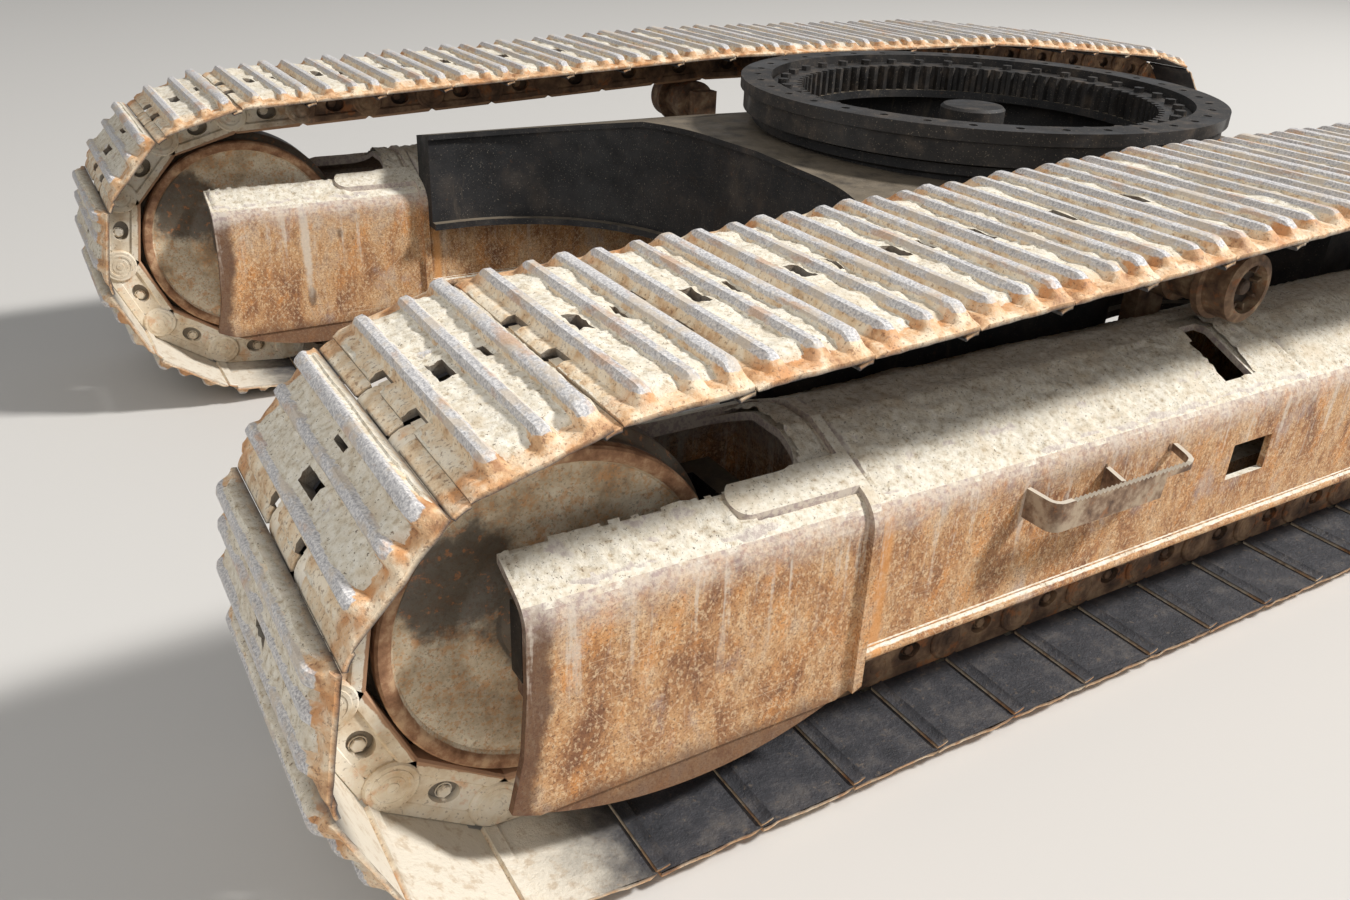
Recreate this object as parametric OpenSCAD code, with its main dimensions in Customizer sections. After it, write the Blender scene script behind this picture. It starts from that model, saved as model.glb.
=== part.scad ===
// Crawler undercarriage of a tracked excavator, in millimetres.
// +X points forward to the idlers, +Y to the machine's left, +Z up.
// The origin is on the ground, straight below the slewing axis.

/* [Track] */
// Distance between the centrelines of the two tracks
gauge = 2200; // [2100:10:2600]
// Width of a track shoe
shoe_w = 600; // [500:10:700]
// Distance from one chain pin to the next
shoe_pitch = 203; // [190:1:216]
// Thickness of the shoe plate
plate_t = 12; // [9:0.5:16]
// Height of the grousers above the shoe plate
grouser_h = 28; // [18:1:34]
// Height of a chain link, from the shoe to the rail that the rollers run on
link_h = 105; // [95:1:115]
// Height of the chain pins above the shoe plate
pin_h = 50; // [44:1:56]
// Distance across the chain, over both rows of links
chain_w = 190; // [170:2:210]
// Width of one row of links
link_w = 45; // [38:1:50]
// How far the track has run on past the middle of a sprocket tooth
track_phase = 53; // [0:1:100]

/* [Wheels] */
// Distance of the idler axle in front of the slewing axis
idler_x = 1950; // [1900:5:2000]
// Tread radius of the idler
idler_r = 295; // [280:1:305]
// Distance of the sprocket axle behind the slewing axis
sprocket_x = 1923.5; // [1900:0.5:2000]
// Height of the sprocket axle above the ground
sprocket_z = 470; // [450:5:490]
// Number of sprocket teeth, of which every second gap takes a chain pin
sprocket_teeth = 21; // [19:2:23]
// Tread radius of the track rollers
roller_r = 78; // [70:1:84]
// Number of track rollers under each frame
roller_count = 8; // [6:1:9]
// Tread radius of the carrier rollers
carrier_r = 75; // [66:1:80]
// Height of the carrier roller axles above the ground
carrier_z = 764; // [755:1:780]

/* [Track frame] */
// Width of the box-section track frame
frame_w = 450; // [420:2:470]
// Height of the frame's underside above the ground
frame_bottom_z = 262; // [255:1:275]
// Height where the frame's side wall starts to bend into the roof
frame_side_z = 535; // [515:1:545]
// Outer radius of that bend
frame_bend_r = 55; // [40:1:70]
// Slope of the frame's roof, in degrees
roof_slope = 24.5; // [18:0.5:27]
// Wall thickness of the frame plates
frame_t = 14; // [10:1:18]
// Where the idler guards join the frame
guard_x0 = 1420; // [1390:5:1440]
// Where the idler guards end in front, at their lower corner
guard_x1 = 2090; // [2070:5:2110]

/* [Car body] */
// Outer radius of the tub under the slewing ring
tub_r = 637; // [625:1:650]
// Height of the seat for the slewing ring
seat_z = 870; // [860:1:880]
// Height of the car body's belly plate
belly_z = 470; // [450:5:490]
// Height of the leg tops where they meet the track frames
leg_end_z = 740; // [700:5:770]
// Radius of the bay's corners between the two front legs, and between the rear ones
bay_r = 560; // [500:10:600]
// Distance of the bay's end from the slewing axis
bay_x = 775; // [740:5:800]
// Width of the bay
bay_w = 1660; // [1600:10:1700]

/* [Slewing ring] */
// Outer radius of the slewing ring
ring_r = 691; // [685:1:700]
// Height of the slewing ring over its seat
ring_h = 100; // [95:1:110]
// Width of the outer race, from its edge to the balls
outer_race_w = 78; // [74:1:82]
// Width of the inner race, from the balls to the roots of its teeth
inner_race_w = 79; // [72:1:86]
// Distance of the bolt circle from the edge of the outer race
ring_bolt_in = 38; // [35:1:41]
// Number of bolt holes in the outer race
ring_bolts = 36; // [24:1:40]
// Radius of a bolt hole
ring_hole_r = 11.5; // [10:0.5:13]
// Number of teeth inside the inner race
ring_teeth = 84; // [60:1:96]
// Height of such a tooth
ring_tooth_h = 16; // [12:1:18]

/* [Hidden] */

steel_dark = [0.16, 0.15, 0.15];
steel_dusty = [0.72, 0.62, 0.48];
steel_rust = [0.55, 0.36, 0.20];
steel_worn = [0.60, 0.58, 0.58];

// Track loop: the belt that the chain pins follow round the wheels
seat_h = grouser_h + plate_t;              // shoe seat above the ground
rail_h = seat_h + link_h;                  // roller rail above the ground
pin_drop = link_h - pin_h;                 // from the pins to the rail
idler_pin_r = norm([idler_r + pin_drop, shoe_pitch / 2]);
idler_z = rail_h - pin_drop + idler_pin_r;
roller_z = rail_h + roller_r;
carrier_xs = [350, -950];
carrier_lift = 5;                          // the straight links bridge the small rollers
tooth_angle = 360 / sprocket_teeth;
sprocket_pin_r = shoe_pitch / 2 / sin(tooth_angle);
track_bend_x = -1500;                       // where the track starts to rise to the sprocket
roller_x0 = -1400;
roller_x1 = 1330;

// Wheels that the belt wraps, counter-clockwise from the idler: [x, z, radius of the pin path]
belt = [
    [idler_x, idler_z, idler_pin_r],
    [carrier_xs[0], carrier_z, carrier_r + pin_drop + carrier_lift],
    [carrier_xs[1], carrier_z, carrier_r + pin_drop + carrier_lift],
    [-sprocket_x, sprocket_z, sprocket_pin_r],
    [track_bend_x, roller_z, roller_r + pin_drop]
];
belt_n = len(belt);

function next(i) = (i + 1) % belt_n;
function leave_angle(a, b) = atan2(b[1] - a[1], b[0] - a[0]) - acos((a[2] - b[2]) / norm([b[0] - a[0], b[1] - a[1]]));
function on_wheel(w, angle) = [w[0] + w[2] * cos(angle), w[1] + w[2] * sin(angle)];
function turn(from, to) = ((to - from) % 360 + 360) % 360;

// Each wheel's arc: [angle where the belt arrives, angle it turns through]
leave = [for (i = [0:belt_n - 1]) leave_angle(belt[i], belt[next(i)])];
arrive = [for (i = [0:belt_n - 1]) leave[(i + belt_n - 1) % belt_n]];
wrap = [for (i = [0:belt_n - 1]) turn(arrive[i], leave[i])];
// Radius that turns a length of straight links into the angle that they cover on a wheel
function link_radius(r) = shoe_pitch / 2 / (asin(min(1, shoe_pitch / 2 / r)) * PI / 180);
arc_r = [for (i = [0:belt_n - 1]) link_radius(belt[i][2])];
arc_len = [for (i = [0:belt_n - 1]) wrap[i] * PI / 180 * arc_r[i]];
run_len = [for (i = [0:belt_n - 1]) norm(on_wheel(belt[next(i)], leave[i]) - on_wheel(belt[i], leave[i]))];
function sum_to(list, n) = n <= 0 ? 0 : list[n - 1] + sum_to(list, n - 1);
belt_len = sum_to(arc_len, belt_n) + sum_to(run_len, belt_n);
shoe_count = round(belt_len / shoe_pitch);
link_pitch = belt_len / shoe_count;

// Point of the belt at the distance s from the idler's arrival point
function belt_at(s, i = 0) =
    s < arc_len[i] ? on_wheel(belt[i], arrive[i] + s / arc_r[i] * 180 / PI)
    : s < arc_len[i] + run_len[i]
        ? let (p = on_wheel(belt[i], leave[i]), q = on_wheel(belt[next(i)], leave[i]))
          p + (q - p) * (s - arc_len[i]) / run_len[i]
    : belt_at(s - arc_len[i] - run_len[i], next(i));

// The sprocket's bushes must lie in its tooth gaps, so the pins are counted from there
pin_start = sum_to(arc_len, 3) + sum_to(run_len, 3);
pins = [for (k = [0:shoe_count - 1]) belt_at((pin_start + track_phase + (k + 0.5) * link_pitch) % belt_len)];

// Frame of link k: middle of its chord, unit vector along it, and unit vector outwards
function pin(k) = pins[(k + shoe_count) % shoe_count];
function mid(k) = (pin(k) + pin(k + 1)) / 2;
function along(k) = (pin(k + 1) - pin(k)) / norm(pin(k + 1) - pin(k));
function outward(k) = [along(k)[1], -along(k)[0]];
function place(k, p) = mid(k) + along(k) * p[0] + outward(k) * p[1];
// Meeting point of the lines at the height h outside links k and k + 1
function corner(k, h) =
    let (bend = asin(along(k)[0] * along(k + 1)[1] - along(k)[1] * along(k + 1)[0]))
    pin(k + 1) + (outward(k) + outward(k + 1)) / norm(outward(k) + outward(k + 1)) * h / cos(bend / 2);

// Side profile of one shoe: [place along the link, height over the shoe seat]
half = link_pitch / 2;
tip = plate_t + grouser_h;
shoe_profile = [
    [-half + 3, plate_t],
    [-half + 34, plate_t], [-half + 48, tip - 4], [-half + 62, plate_t],
    [-half + 110, plate_t], [-half + 124, tip - 4], [-half + 138, plate_t],
    [-half + 174, plate_t], [-half + 182, tip], [-half + 200, tip]
];

module loop_band(outer, inner, width, y0) {
    translate([0, y0 + width, 0])
        rotate([90, 0, 0])
            linear_extrude(width)
                difference() {
                    polygon(outer);
                    polygon(inner);
                }
}

module shoes() {
    color(steel_dusty)
        loop_band(
            [for (k = [0:shoe_count - 1]) for (p = shoe_profile) place(k, p + [0, pin_h])],
            [for (k = [0:shoe_count - 1]) corner(k, pin_h)],
            shoe_w, -shoe_w / 2);
}

module chain() {
    seat_gap = 0.3;
    color(steel_dusty)
        for (y = [-chain_w / 2, chain_w / 2 - link_w])
            loop_band(
                [for (k = [0:shoe_count - 1]) corner(k, pin_h - seat_gap)],
                [for (k = [0:shoe_count - 1]) corner(k, -pin_drop)],
                link_w, y);
}

// Sizes of the single pieces
idler_flange_w = chain_w - 2 * link_w - 10;
idler_flange_h = 18;
idler_clear = 5;                            // running gap to the chain
idler_face = chain_w / 2 + 4;
idler_rim = 27;
idler_hub_r = 82;
axle_r = 36;
axle_gap = 0.05;                            // running fit on the axle
yoke_y = idler_face + 10;                   // inner face of the yoke's arms
yoke_t = 40;
yoke_h = 130;
yoke_back = idler_x - idler_r - 75;
yoke_bar = 60;
yoke_seat_gap = 0.3;
push_rod_r = 45;
gland_r = 78;
gland_t = 22;
ridge_half = 40;
frame_x0 = -1500;
lip_out = 13;
lip_h = 26;
slot_w = 90;
slot_y0 = 12;
slot_y1 = 170;
port_w = 132;
port_h = 84;
port_x = 306;
port_z = 384;
roller_face = chain_w / 2 + 16;
channel_w = 2 * (roller_face + 7);
channel_h = 68;
rear_plate_t = 30;
rear_plate_y = -frame_w / 2;
rear_hub_r = 210;
motor_bore_r = 130;
guard_inner_y = 125;
shelf_t = 25;
shelf_z = idler_z - yoke_h / 2 - yoke_seat_gap - shelf_t;
yoke_x1 = idler_x + 85;
guard_bottom_z = 133;                       // lowest point of the guard's curved lower edge
guard_sweep_r = 750;                        // radius of that edge
guard_lean = 33;                            // how far the front edge's upper part lies behind the corner
guard_skin_z = 190;                         // lower edge of the guard's skin
guard_set_in = 5;
pad_t = 14;
pad_y0 = 120;
pad_y1 = 185;
pad_x1 = guard_x0 + 262;
flange_t = 20;
flange_out = 12;
nose_x = 1505;
nose_r = 60;
step_x0 = 660;
step_x1 = 1060;
step_reach = 63;
step_z = 464;
step_h = 60;
step_t = 10;
step_bend = 14;
step_brace_x = 868;
step_low_x0 = 770;                          // behind this place only the top strip goes on
step_strip_h = 16;
sprocket_w = 58;
bush_r = 31;
drive_r = 228;
drive_out = 195;
motor_in = -300;
leg_root_y = 520;
tub_flange_t = 24;
tub_flare = 10;
leg_root_z = seat_z - tub_flange_t - tub_flare;
leg_end_y = gauge / 2 - frame_w / 2 + 60;
leg_top_t = 16;
leg_bottom_t = 20;
side_bay_r = 455;
tub_wall = 30;
tub_lip = 24;
tub_seat_w = 120;
belly_t = 20;
belly_hole_r = 130;
ring_top_z = seat_z + ring_h;
ring_bolt_r = ring_r - ring_bolt_in;
race_r = ring_r - outer_race_w;             // where the balls run
race_gap = 0.8;
inner_race_top_z = ring_top_z - 24;
inner_bolt_r = 16.5;
inner_bolt_h = 14;
gear_root_r = race_r - inner_race_w;
gear_tip_r = gear_root_r - ring_tooth_h;
swivel_r = 105;
swivel_shaft_r = 60;
swivel_top_z = 800;
swivel_foot_r = 175;
swivel_foot_t = 23.7;
swivel_below = 70;
swivel_cap_r = 96;
swivel_cap_h = 108;
swivel_end_r = 84;
swivel_end_t = 15;
swivel_gap = 5;
motor_guard_back = 150;
motor_guard_up = 140;
motor_guard_fold = 40;
motor_guard_deep = 95;
motor_guard_t = 12;
guide_long = 190;
guide_t = 20;
guide_low_z = 172;

// Wheels turn about Y: profiles are [radius, place along the axle]
module about_y(x, z) {
    translate([x, 0, z])
        rotate([-90, 0, 0])
            rotate_extrude($fn = 96)
                children();
}

module idler() {
    tread = idler_r - idler_clear;
    color(steel_rust)
        about_y(idler_x, idler_z)
            polygon([
                [axle_r + axle_gap, -idler_face - 5], [idler_hub_r, -idler_face - 5], [idler_hub_r + 12, -idler_face + 12],
                [tread - idler_rim, -idler_face + 12], [tread - idler_rim + 6, -idler_face],
                [tread - 3, -idler_face], [tread, -idler_face + 3],
                [tread, -idler_flange_w / 2 - 6], [tread + idler_flange_h, -idler_flange_w / 2 + 2],
                [tread + idler_flange_h, idler_flange_w / 2 - 2], [tread, idler_flange_w / 2 + 6],
                [tread, idler_face - 3], [tread - 3, idler_face],
                [tread - idler_rim + 6, idler_face], [tread - idler_rim, idler_face - 12],
                [idler_hub_r + 12, idler_face - 12], [idler_hub_r, idler_face + 5], [axle_r + axle_gap, idler_face + 5]
            ]);
}

module yoke() {
    outer_y = yoke_y + yoke_t;
    color(steel_dark) {
        difference() {
            translate([yoke_back - yoke_bar, -outer_y, idler_z - yoke_h / 2])
                cube([yoke_x1 - yoke_back + yoke_bar, 2 * outer_y, yoke_h]);
            translate([yoke_back, -yoke_y, idler_z - yoke_h / 2 - 1])
                cube([yoke_x1 + 1 - yoke_back, 2 * yoke_y, yoke_h + 2]);
        }
        translate([idler_x, yoke_y + 5, idler_z])
            rotate([90, 0, 0])
                cylinder(r = axle_r, h = 2 * yoke_y + 10, $fn = 48);
    }
}

// Rod of the track tensioner, between the frame's front bulkhead and the yoke
module push_rod() {
    color(steel_worn)
        translate([guard_x0, 0, idler_z])
            rotate([0, 90, 0]) {
                cylinder(r = gland_r, h = gland_t, $fn = 48);
                cylinder(r = push_rod_r, h = yoke_back - yoke_bar - guard_x0, $fn = 48);
            }
}

// Cross-section of the track frame, set in by t: side walls, bends and a ridged roof
function frame_section(t, z0) =
    let (
        cy = frame_w / 2 - frame_bend_r,
        r = frame_bend_r - t,
        a1 = 90 - roof_slope,
        bend = [for (a = [0:a1 / 6:a1 + 0.01]) [cy + r * cos(a), frame_side_z + r * sin(a)]],
        last = bend[len(bend) - 1],
        ridge = [ridge_half, last[1] + (last[0] - ridge_half) * tan(roof_slope)],
        side = concat([[frame_w / 2 - t, z0]], bend, [ridge])
    )
    concat(side, [for (i = [len(side) - 1:-1:0]) [-side[i][0], side[i][1]]]);

module along_x(x0, x1) {
    translate([x0, 0, 0])
        rotate([90, 0, 90])
            linear_extrude(x1 - x0)
                children();
}

// Frame section, inset by t, with the channel underneath that the rollers' flanges turn in
module channelled(t, bottom) {
    difference() {
        polygon(frame_section(t, bottom));
        translate([-channel_w / 2 - t, frame_bottom_z - 1])
            square([channel_w + 2 * t, channel_h + 1 + t]);
    }
}

module frame() {
    bottom_t = 18;
    color(steel_rust)
        difference() {
            union() {
                along_x(frame_x0, guard_x0)
                    channelled(0, frame_bottom_z);
                for (s = [-1, 1])
                    translate([frame_x0, s * frame_w / 2, frame_bottom_z + lip_h / 2])
                        rotate([0, 90, 0])
                            cylinder(r = lip_out, h = guard_x0 - frame_x0, $fn = 24);
                rear_plate();
            }
            along_x(frame_x0 + frame_t, guard_x0 - frame_t)
                channelled(frame_t, frame_bottom_z + bottom_t);
            for (x = carrier_xs)
                translate([x + 5, slot_y0, frame_side_z])
                    cube([slot_w, slot_y1 - slot_y0, 200]);
            translate([port_x, frame_w / 2 - frame_t - 20, port_z])
                cube([port_w, frame_t + 40, port_h]);
        }
}

// Upright plate behind the box section, which carries the final drive
module rear_plate() {
    difference() {
        union() {
            translate([-sprocket_x, rear_plate_y, sprocket_z])
                rotate([-90, 0, 0])
                    cylinder(r = rear_hub_r, h = rear_plate_t, $fn = 72);
            translate([-sprocket_x, rear_plate_y, frame_bottom_z])
                cube([sprocket_x + frame_x0, rear_plate_t, frame_side_z - frame_bottom_z + 40]);
        }
        translate([-sprocket_x, rear_plate_y - 1, sprocket_z])
            rotate([-90, 0, 0])
                cylinder(r = motor_bore_r, h = rear_plate_t + 2, $fn = 72);
    }
}

module guard_slot() {
    clear = guard_inner_y;
    translate([nose_x + nose_r, -clear, 0])
        cube([guard_x1 - nose_x, 2 * clear, 900]);
    translate([nose_x, -clear + nose_r, 0])
        cube([nose_r + 1, 2 * (clear - nose_r), 900]);
    for (s = [-1, 1])
        translate([nose_x + nose_r, s * (clear - nose_r), 0])
            cylinder(r = nose_r, h = 900, $fn = 48);
}

// Side view of the guard: a swept lower edge, and a front edge that leans back to the top
module guard_outline() {
    top_x = guard_x1 - guard_lean;
    intersection() {
        translate([(guard_x0 + guard_x1) / 2, guard_bottom_z + guard_sweep_r])
            circle(r = guard_sweep_r, $fn = 240);
        polygon([
            [guard_x0, 0], [guard_x1, 0], [guard_x1, guard_bottom_z + 77], [top_x + 11, guard_bottom_z + 180],
            [top_x + 3, guard_bottom_z + 295], [top_x, 900], [guard_x0, 900]
        ]);
    }
}

module guard() {
    color(steel_rust)
        difference() {
            intersection() {
                union() {
                    along_x(guard_x0, guard_x1)
                        difference() {
                            polygon(frame_section(0, 0));
                            polygon(frame_section(frame_t, -1));
                        }
                    along_x(guard_x0, guard_x0 + flange_t)
                        difference() {
                            polygon(frame_section(-flange_out, 0));
                            polygon(frame_section(frame_t, -1));
                        }
                }
                translate([0, frame_w, 0])
                    rotate([90, 0, 0])
                        linear_extrude(2 * frame_w)
                            guard_outline();
            }
            guard_slot();
            // The lowest strip is set in under the skin
            for (s = [-1, 1])
                translate([guard_x0 + flange_t, s > 0 ? frame_w / 2 - guard_set_in : -frame_w / 2 - 1, 0])
                    cube([guard_x1 - guard_x0, guard_set_in + 1, guard_skin_z]);
        }
    // Pad with a rounded end on each half of the roof
    color(steel_rust)
        difference() {
            intersection() {
                along_x(guard_x0 + flange_t, guard_x1)
                    polygon(frame_section(-pad_t, frame_side_z));
                for (s = [-1, 1])
                    translate([0, s * (pad_y0 + pad_y1) / 2, frame_side_z]) {
                        translate([pad_x1 - (pad_y1 - pad_y0) / 2, 0, 0])
                            cylinder(d = pad_y1 - pad_y0, h = 300, $fn = 48);
                        translate([guard_x0, (pad_y0 - pad_y1) / 2, 0])
                            cube([pad_x1 - (pad_y1 - pad_y0) / 2 - guard_x0, pad_y1 - pad_y0, 300]);
                    }
            }
            guard_slot();
            along_x(guard_x0, guard_x1)
                polygon(frame_section(frame_t / 2, 0));
        }
    // Shelves that the yoke slides on
    color(steel_dark)
        for (s = [-1, 1])
            translate([guard_x0 + flange_t, s > 0 ? guard_inner_y + 5 : -frame_w / 2 + frame_t - 1, shelf_z])
                cube([yoke_x1 - guard_x0 - flange_t, frame_w / 2 - frame_t + 1 - guard_inner_y - 5, shelf_t]);
}

// Bent flat bar with two gussets, seen from above
module step() {
    y0 = frame_w / 2;
    y1 = y0 + step_reach;
    color(steel_rust)
        translate([0, 0, step_z])
            difference() {
                union() {
                    linear_extrude(step_h)
                        difference() {
                            polygon([
                                [step_x0, y0], [step_x0 + 22, y1 - step_bend], [step_x0 + 40, y1], [step_x1 - step_bend, y1],
                                [step_x1, y1 - step_bend], [step_x1, y0]
                            ]);
                            polygon([
                                [step_x0 + step_t, y0 - 1], [step_x0 + 31, y1 - 20], [step_x0 + 44, y1 - step_t],
                                [step_x1 - step_bend - 4, y1 - step_t], [step_x1 - step_t, y1 - step_bend - 4],
                                [step_x1 - step_t, y0 - 1]
                            ]);
                        }
                    linear_extrude(step_h)
                        polygon([
                            [step_brace_x - 10, y0], [step_brace_x, y0], [step_brace_x + 18, y1 - step_t + 1],
                            [step_brace_x + 8, y1 - step_t + 1]
                        ]);
                }
                translate([step_x0 - 1, y0 - 1, -1])
                    cube([step_low_x0 - step_x0 + 1, step_reach + 2, step_h - step_strip_h + 1]);
            }
}

module carriers() {
    color(steel_rust)
        for (x = carrier_xs) {
            about_y(x, carrier_z)
                polygon([
                    [0, -chain_w / 2 - 20], [54, -chain_w / 2 - 20], [54, -chain_w / 2],
                    [carrier_r - 10, -chain_w / 2], [carrier_r, -chain_w / 2 + 6],
                    [carrier_r, -chain_w / 2 + link_w], [carrier_r - 14, -chain_w / 2 + link_w + 6],
                    [carrier_r - 14, chain_w / 2 - link_w - 24], [carrier_r + 10, chain_w / 2 - link_w - 20],
                    [carrier_r + 10, chain_w / 2 - link_w - 4], [carrier_r, chain_w / 2 - link_w],
                    [carrier_r, chain_w / 2 + 10], [carrier_r - 14, chain_w / 2 + 16],
                    [carrier_r - 22, chain_w / 2 + 16], [carrier_r - 24, chain_w / 2 - 14], [0, chain_w / 2 - 14]
                ]);
            // Bracket that holds the roller's shaft from the inner side
            difference() {
                translate([x - 45, -chain_w / 2 - 60, frame_side_z])
                    cube([90, 40, carrier_z + 50 - frame_side_z]);
                along_x(x - 50, x + 50)
                    polygon(frame_section(0, frame_bottom_z));
            }
        }
}

module rollers() {
    step_x = (roller_x1 - roller_x0) / (roller_count - 1);
    color(steel_rust)
        for (i = [0:roller_count - 1]) {
            x = roller_x0 + i * step_x;
            about_y(x, roller_z)
                polygon([
                    [0, -roller_face - 42], [34, -roller_face - 42], [34, -roller_face - 4],
                    [roller_r + 8, -roller_face - 4], [roller_r + 14, -chain_w / 2 - 4], [roller_r - 1, -chain_w / 2],
                    [roller_r - 1, -chain_w / 2 + link_w], [roller_r - 14, -20], [roller_r - 14, 20],
                    [roller_r - 1, chain_w / 2 - link_w], [roller_r - 1, chain_w / 2],
                    [roller_r + 14, chain_w / 2 + 4], [roller_r + 8, roller_face + 4], [34, roller_face + 4],
                    [34, roller_face + 42], [0, roller_face + 42]
                ]);
            for (s = [-1, 1])
                translate([x - 45, s > 0 ? roller_face + 8 : -roller_face - 46, roller_z - 42])
                    cube([90, 38, frame_bottom_z - roller_z + 42]);
        }
}

module chain_guide() {
    step_x = (roller_x1 - roller_x0) / (roller_count - 1);
    color(steel_rust)
        for (i = [1, roller_count - 3])
            for (s = [-1, 1])
                translate([
                    roller_x0 + (i + 0.5) * step_x - guide_long / 2,
                    s * (roller_face + 12 + guide_t / 2) - guide_t / 2, guide_low_z
                ])
                    cube([guide_long, guide_t, frame_bottom_z - guide_low_z]);
}

module sprocket() {
    tip_r = sprocket_pin_r + 16;
    start = atan2(pin(0)[1] - sprocket_z, pin(0)[0] + sprocket_x);
    color(steel_dark)
        translate([-sprocket_x, sprocket_w / 2, sprocket_z])
            rotate([90, 0, 0])
                difference() {
                    cylinder(r = tip_r, h = sprocket_w, $fn = 96);
                    for (i = [0:sprocket_teeth - 1])
                        rotate([0, 0, start + i * tooth_angle])
                            translate([sprocket_pin_r, 0, -1])
                                cylinder(r = bush_r, h = sprocket_w + 2, $fn = 32);
                    translate([0, 0, -1])
                        cylinder(r = drive_r, h = sprocket_w + 2, $fn = 96);
                }
}

module drive() {
    inner = rear_plate_y + rear_plate_t;
    color(steel_dark)
        about_y(-sprocket_x, sprocket_z)
            polygon([
                [0, inner], [196, inner], [196, -70], [drive_r + 26, -62], [drive_r + 26, -sprocket_w / 2],
                [drive_r, -sprocket_w / 2], [drive_r, 46], [214, 60], [214, 150], [200, 168],
                [150, 178], [146, drive_out - 4], [140, drive_out], [0, drive_out]
            ]);
}

module motor() {
    color(steel_dark) {
        about_y(-sprocket_x, sprocket_z)
            polygon([
                [0, motor_in], [78, motor_in], [96, motor_in + 14], [96, rear_plate_y - 22], [120, rear_plate_y - 18],
                [120, rear_plate_y], [motor_bore_r - 0.5, rear_plate_y], [motor_bore_r - 0.5, rear_plate_y + rear_plate_t],
                [0, rear_plate_y + rear_plate_t]
            ]);
        translate([-sprocket_x + 90, motor_in + 12, sprocket_z - 40])
            cube([70, 60, 80]);
    }
}

// Folded plate round the travel motor, welded to the rear plate
module motor_guard() {
    back = motor_guard_back;
    up = motor_guard_up;
    fold = motor_guard_fold;
    front = sprocket_x + frame_x0 - 10;
    t = motor_guard_t;
    color(steel_rust)
        translate([-sprocket_x, rear_plate_y, sprocket_z])
            rotate([90, 0, 0])
                linear_extrude(motor_guard_deep)
                    polygon([
                        [front, up], [-back + fold, up], [-back, up - fold],
                        [-back, -up + fold], [-back + fold, -up], [front, -up],
                        [front, -up + t], [-back + fold + 5, -up + t], [-back + t, -up + fold + 5],
                        [-back + t, up - fold - 5], [-back + fold + 5, up - t], [front, up - t]
                    ]);
}

// Plan of the four legs, grown by g: a rectangle with a bay in front, behind and at each side
module leg_plan(g) {
    corner_y = bay_w / 2 - bay_r;
    difference() {
        translate([-guard_x0, -leg_end_y])
            square([2 * guard_x0, 2 * leg_end_y]);
        for (s = [-1, 1])
            scale([s, 1]) {
                translate([bay_x + bay_r, -bay_w / 2 + g])
                    square([guard_x0 - bay_x, bay_w - 2 * g]);
                translate([bay_x + g, -corner_y])
                    square([bay_r, 2 * corner_y]);
                for (t = [-1, 1])
                    translate([bay_x + bay_r, t * corner_y])
                        circle(r = bay_r - g, $fn = 240);
            }
        for (s = [-1, 1])
            translate([0, s * gauge / 2])
                circle(r = side_bay_r - g, $fn = 240);
        circle(r = tub_r, $fn = 240);
    }
}

// The part of a leg's plan that lies in its own quarter, under the roof line lowered by d
module leg_slice(sx, sy, g, bottom, d) {
    intersection() {
        translate([0, 0, bottom])
            linear_extrude(leg_root_z - bottom)
                intersection() {
                    leg_plan(g);
                    translate([sx > 0 ? 0 : -2000, sy > 0 ? 0 : -1200])
                        square([2000, 1200]);
                }
        translate([-2000, 0, -d])
            rotate([90, 0, 90])
                linear_extrude(4000)
                    polygon([
                        [-leg_end_y - 1, 0], [leg_end_y + 1, 0], [leg_end_y + 1, leg_end_z],
                        [leg_root_y, leg_root_z - 15], [0, leg_root_z + d], [-leg_root_y, leg_root_z - 15],
                        [-leg_end_y - 1, leg_end_z]
                    ]);
    }
}

module leg(sx, sy) {
    color(steel_dark)
        difference() {
            union() {
                leg_slice(sx, sy, 0, belly_z, leg_top_t);
                difference() {
                    leg_slice(sx, sy, 12, leg_end_z - 100, 0);
                    translate([0, 0, -leg_top_t])
                        leg_slice(sx, sy, 40, leg_end_z - 120, 0);
                }
                intersection() {
                    leg_slice(sx, sy, 25, belly_z, 0);
                    translate([-2000, -1200, belly_z])
                        cube([4000, 2400, leg_bottom_t]);
                }
            }
            for (s = [-1, 1])
                translate([0, s * gauge / 2, 0])
                    along_x(-guard_x0 - 1, guard_x0 + 1)
                        polygon(frame_section(0, frame_bottom_z));
        }
}

module tub() {
    color(steel_dark)
        rotate_extrude($fn = 96)
            polygon([
                [belly_hole_r, belly_z], [tub_r, belly_z], [tub_r, leg_root_z],
                [tub_r + tub_lip, seat_z - tub_flange_t], [tub_r + tub_lip, seat_z], [tub_r - tub_seat_w, seat_z],
                [tub_r - tub_seat_w, seat_z - tub_flange_t], [tub_r - tub_wall, leg_root_z],
                [tub_r - tub_wall, belly_z + belly_t], [belly_hole_r, belly_z + belly_t]
            ]);
}

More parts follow.
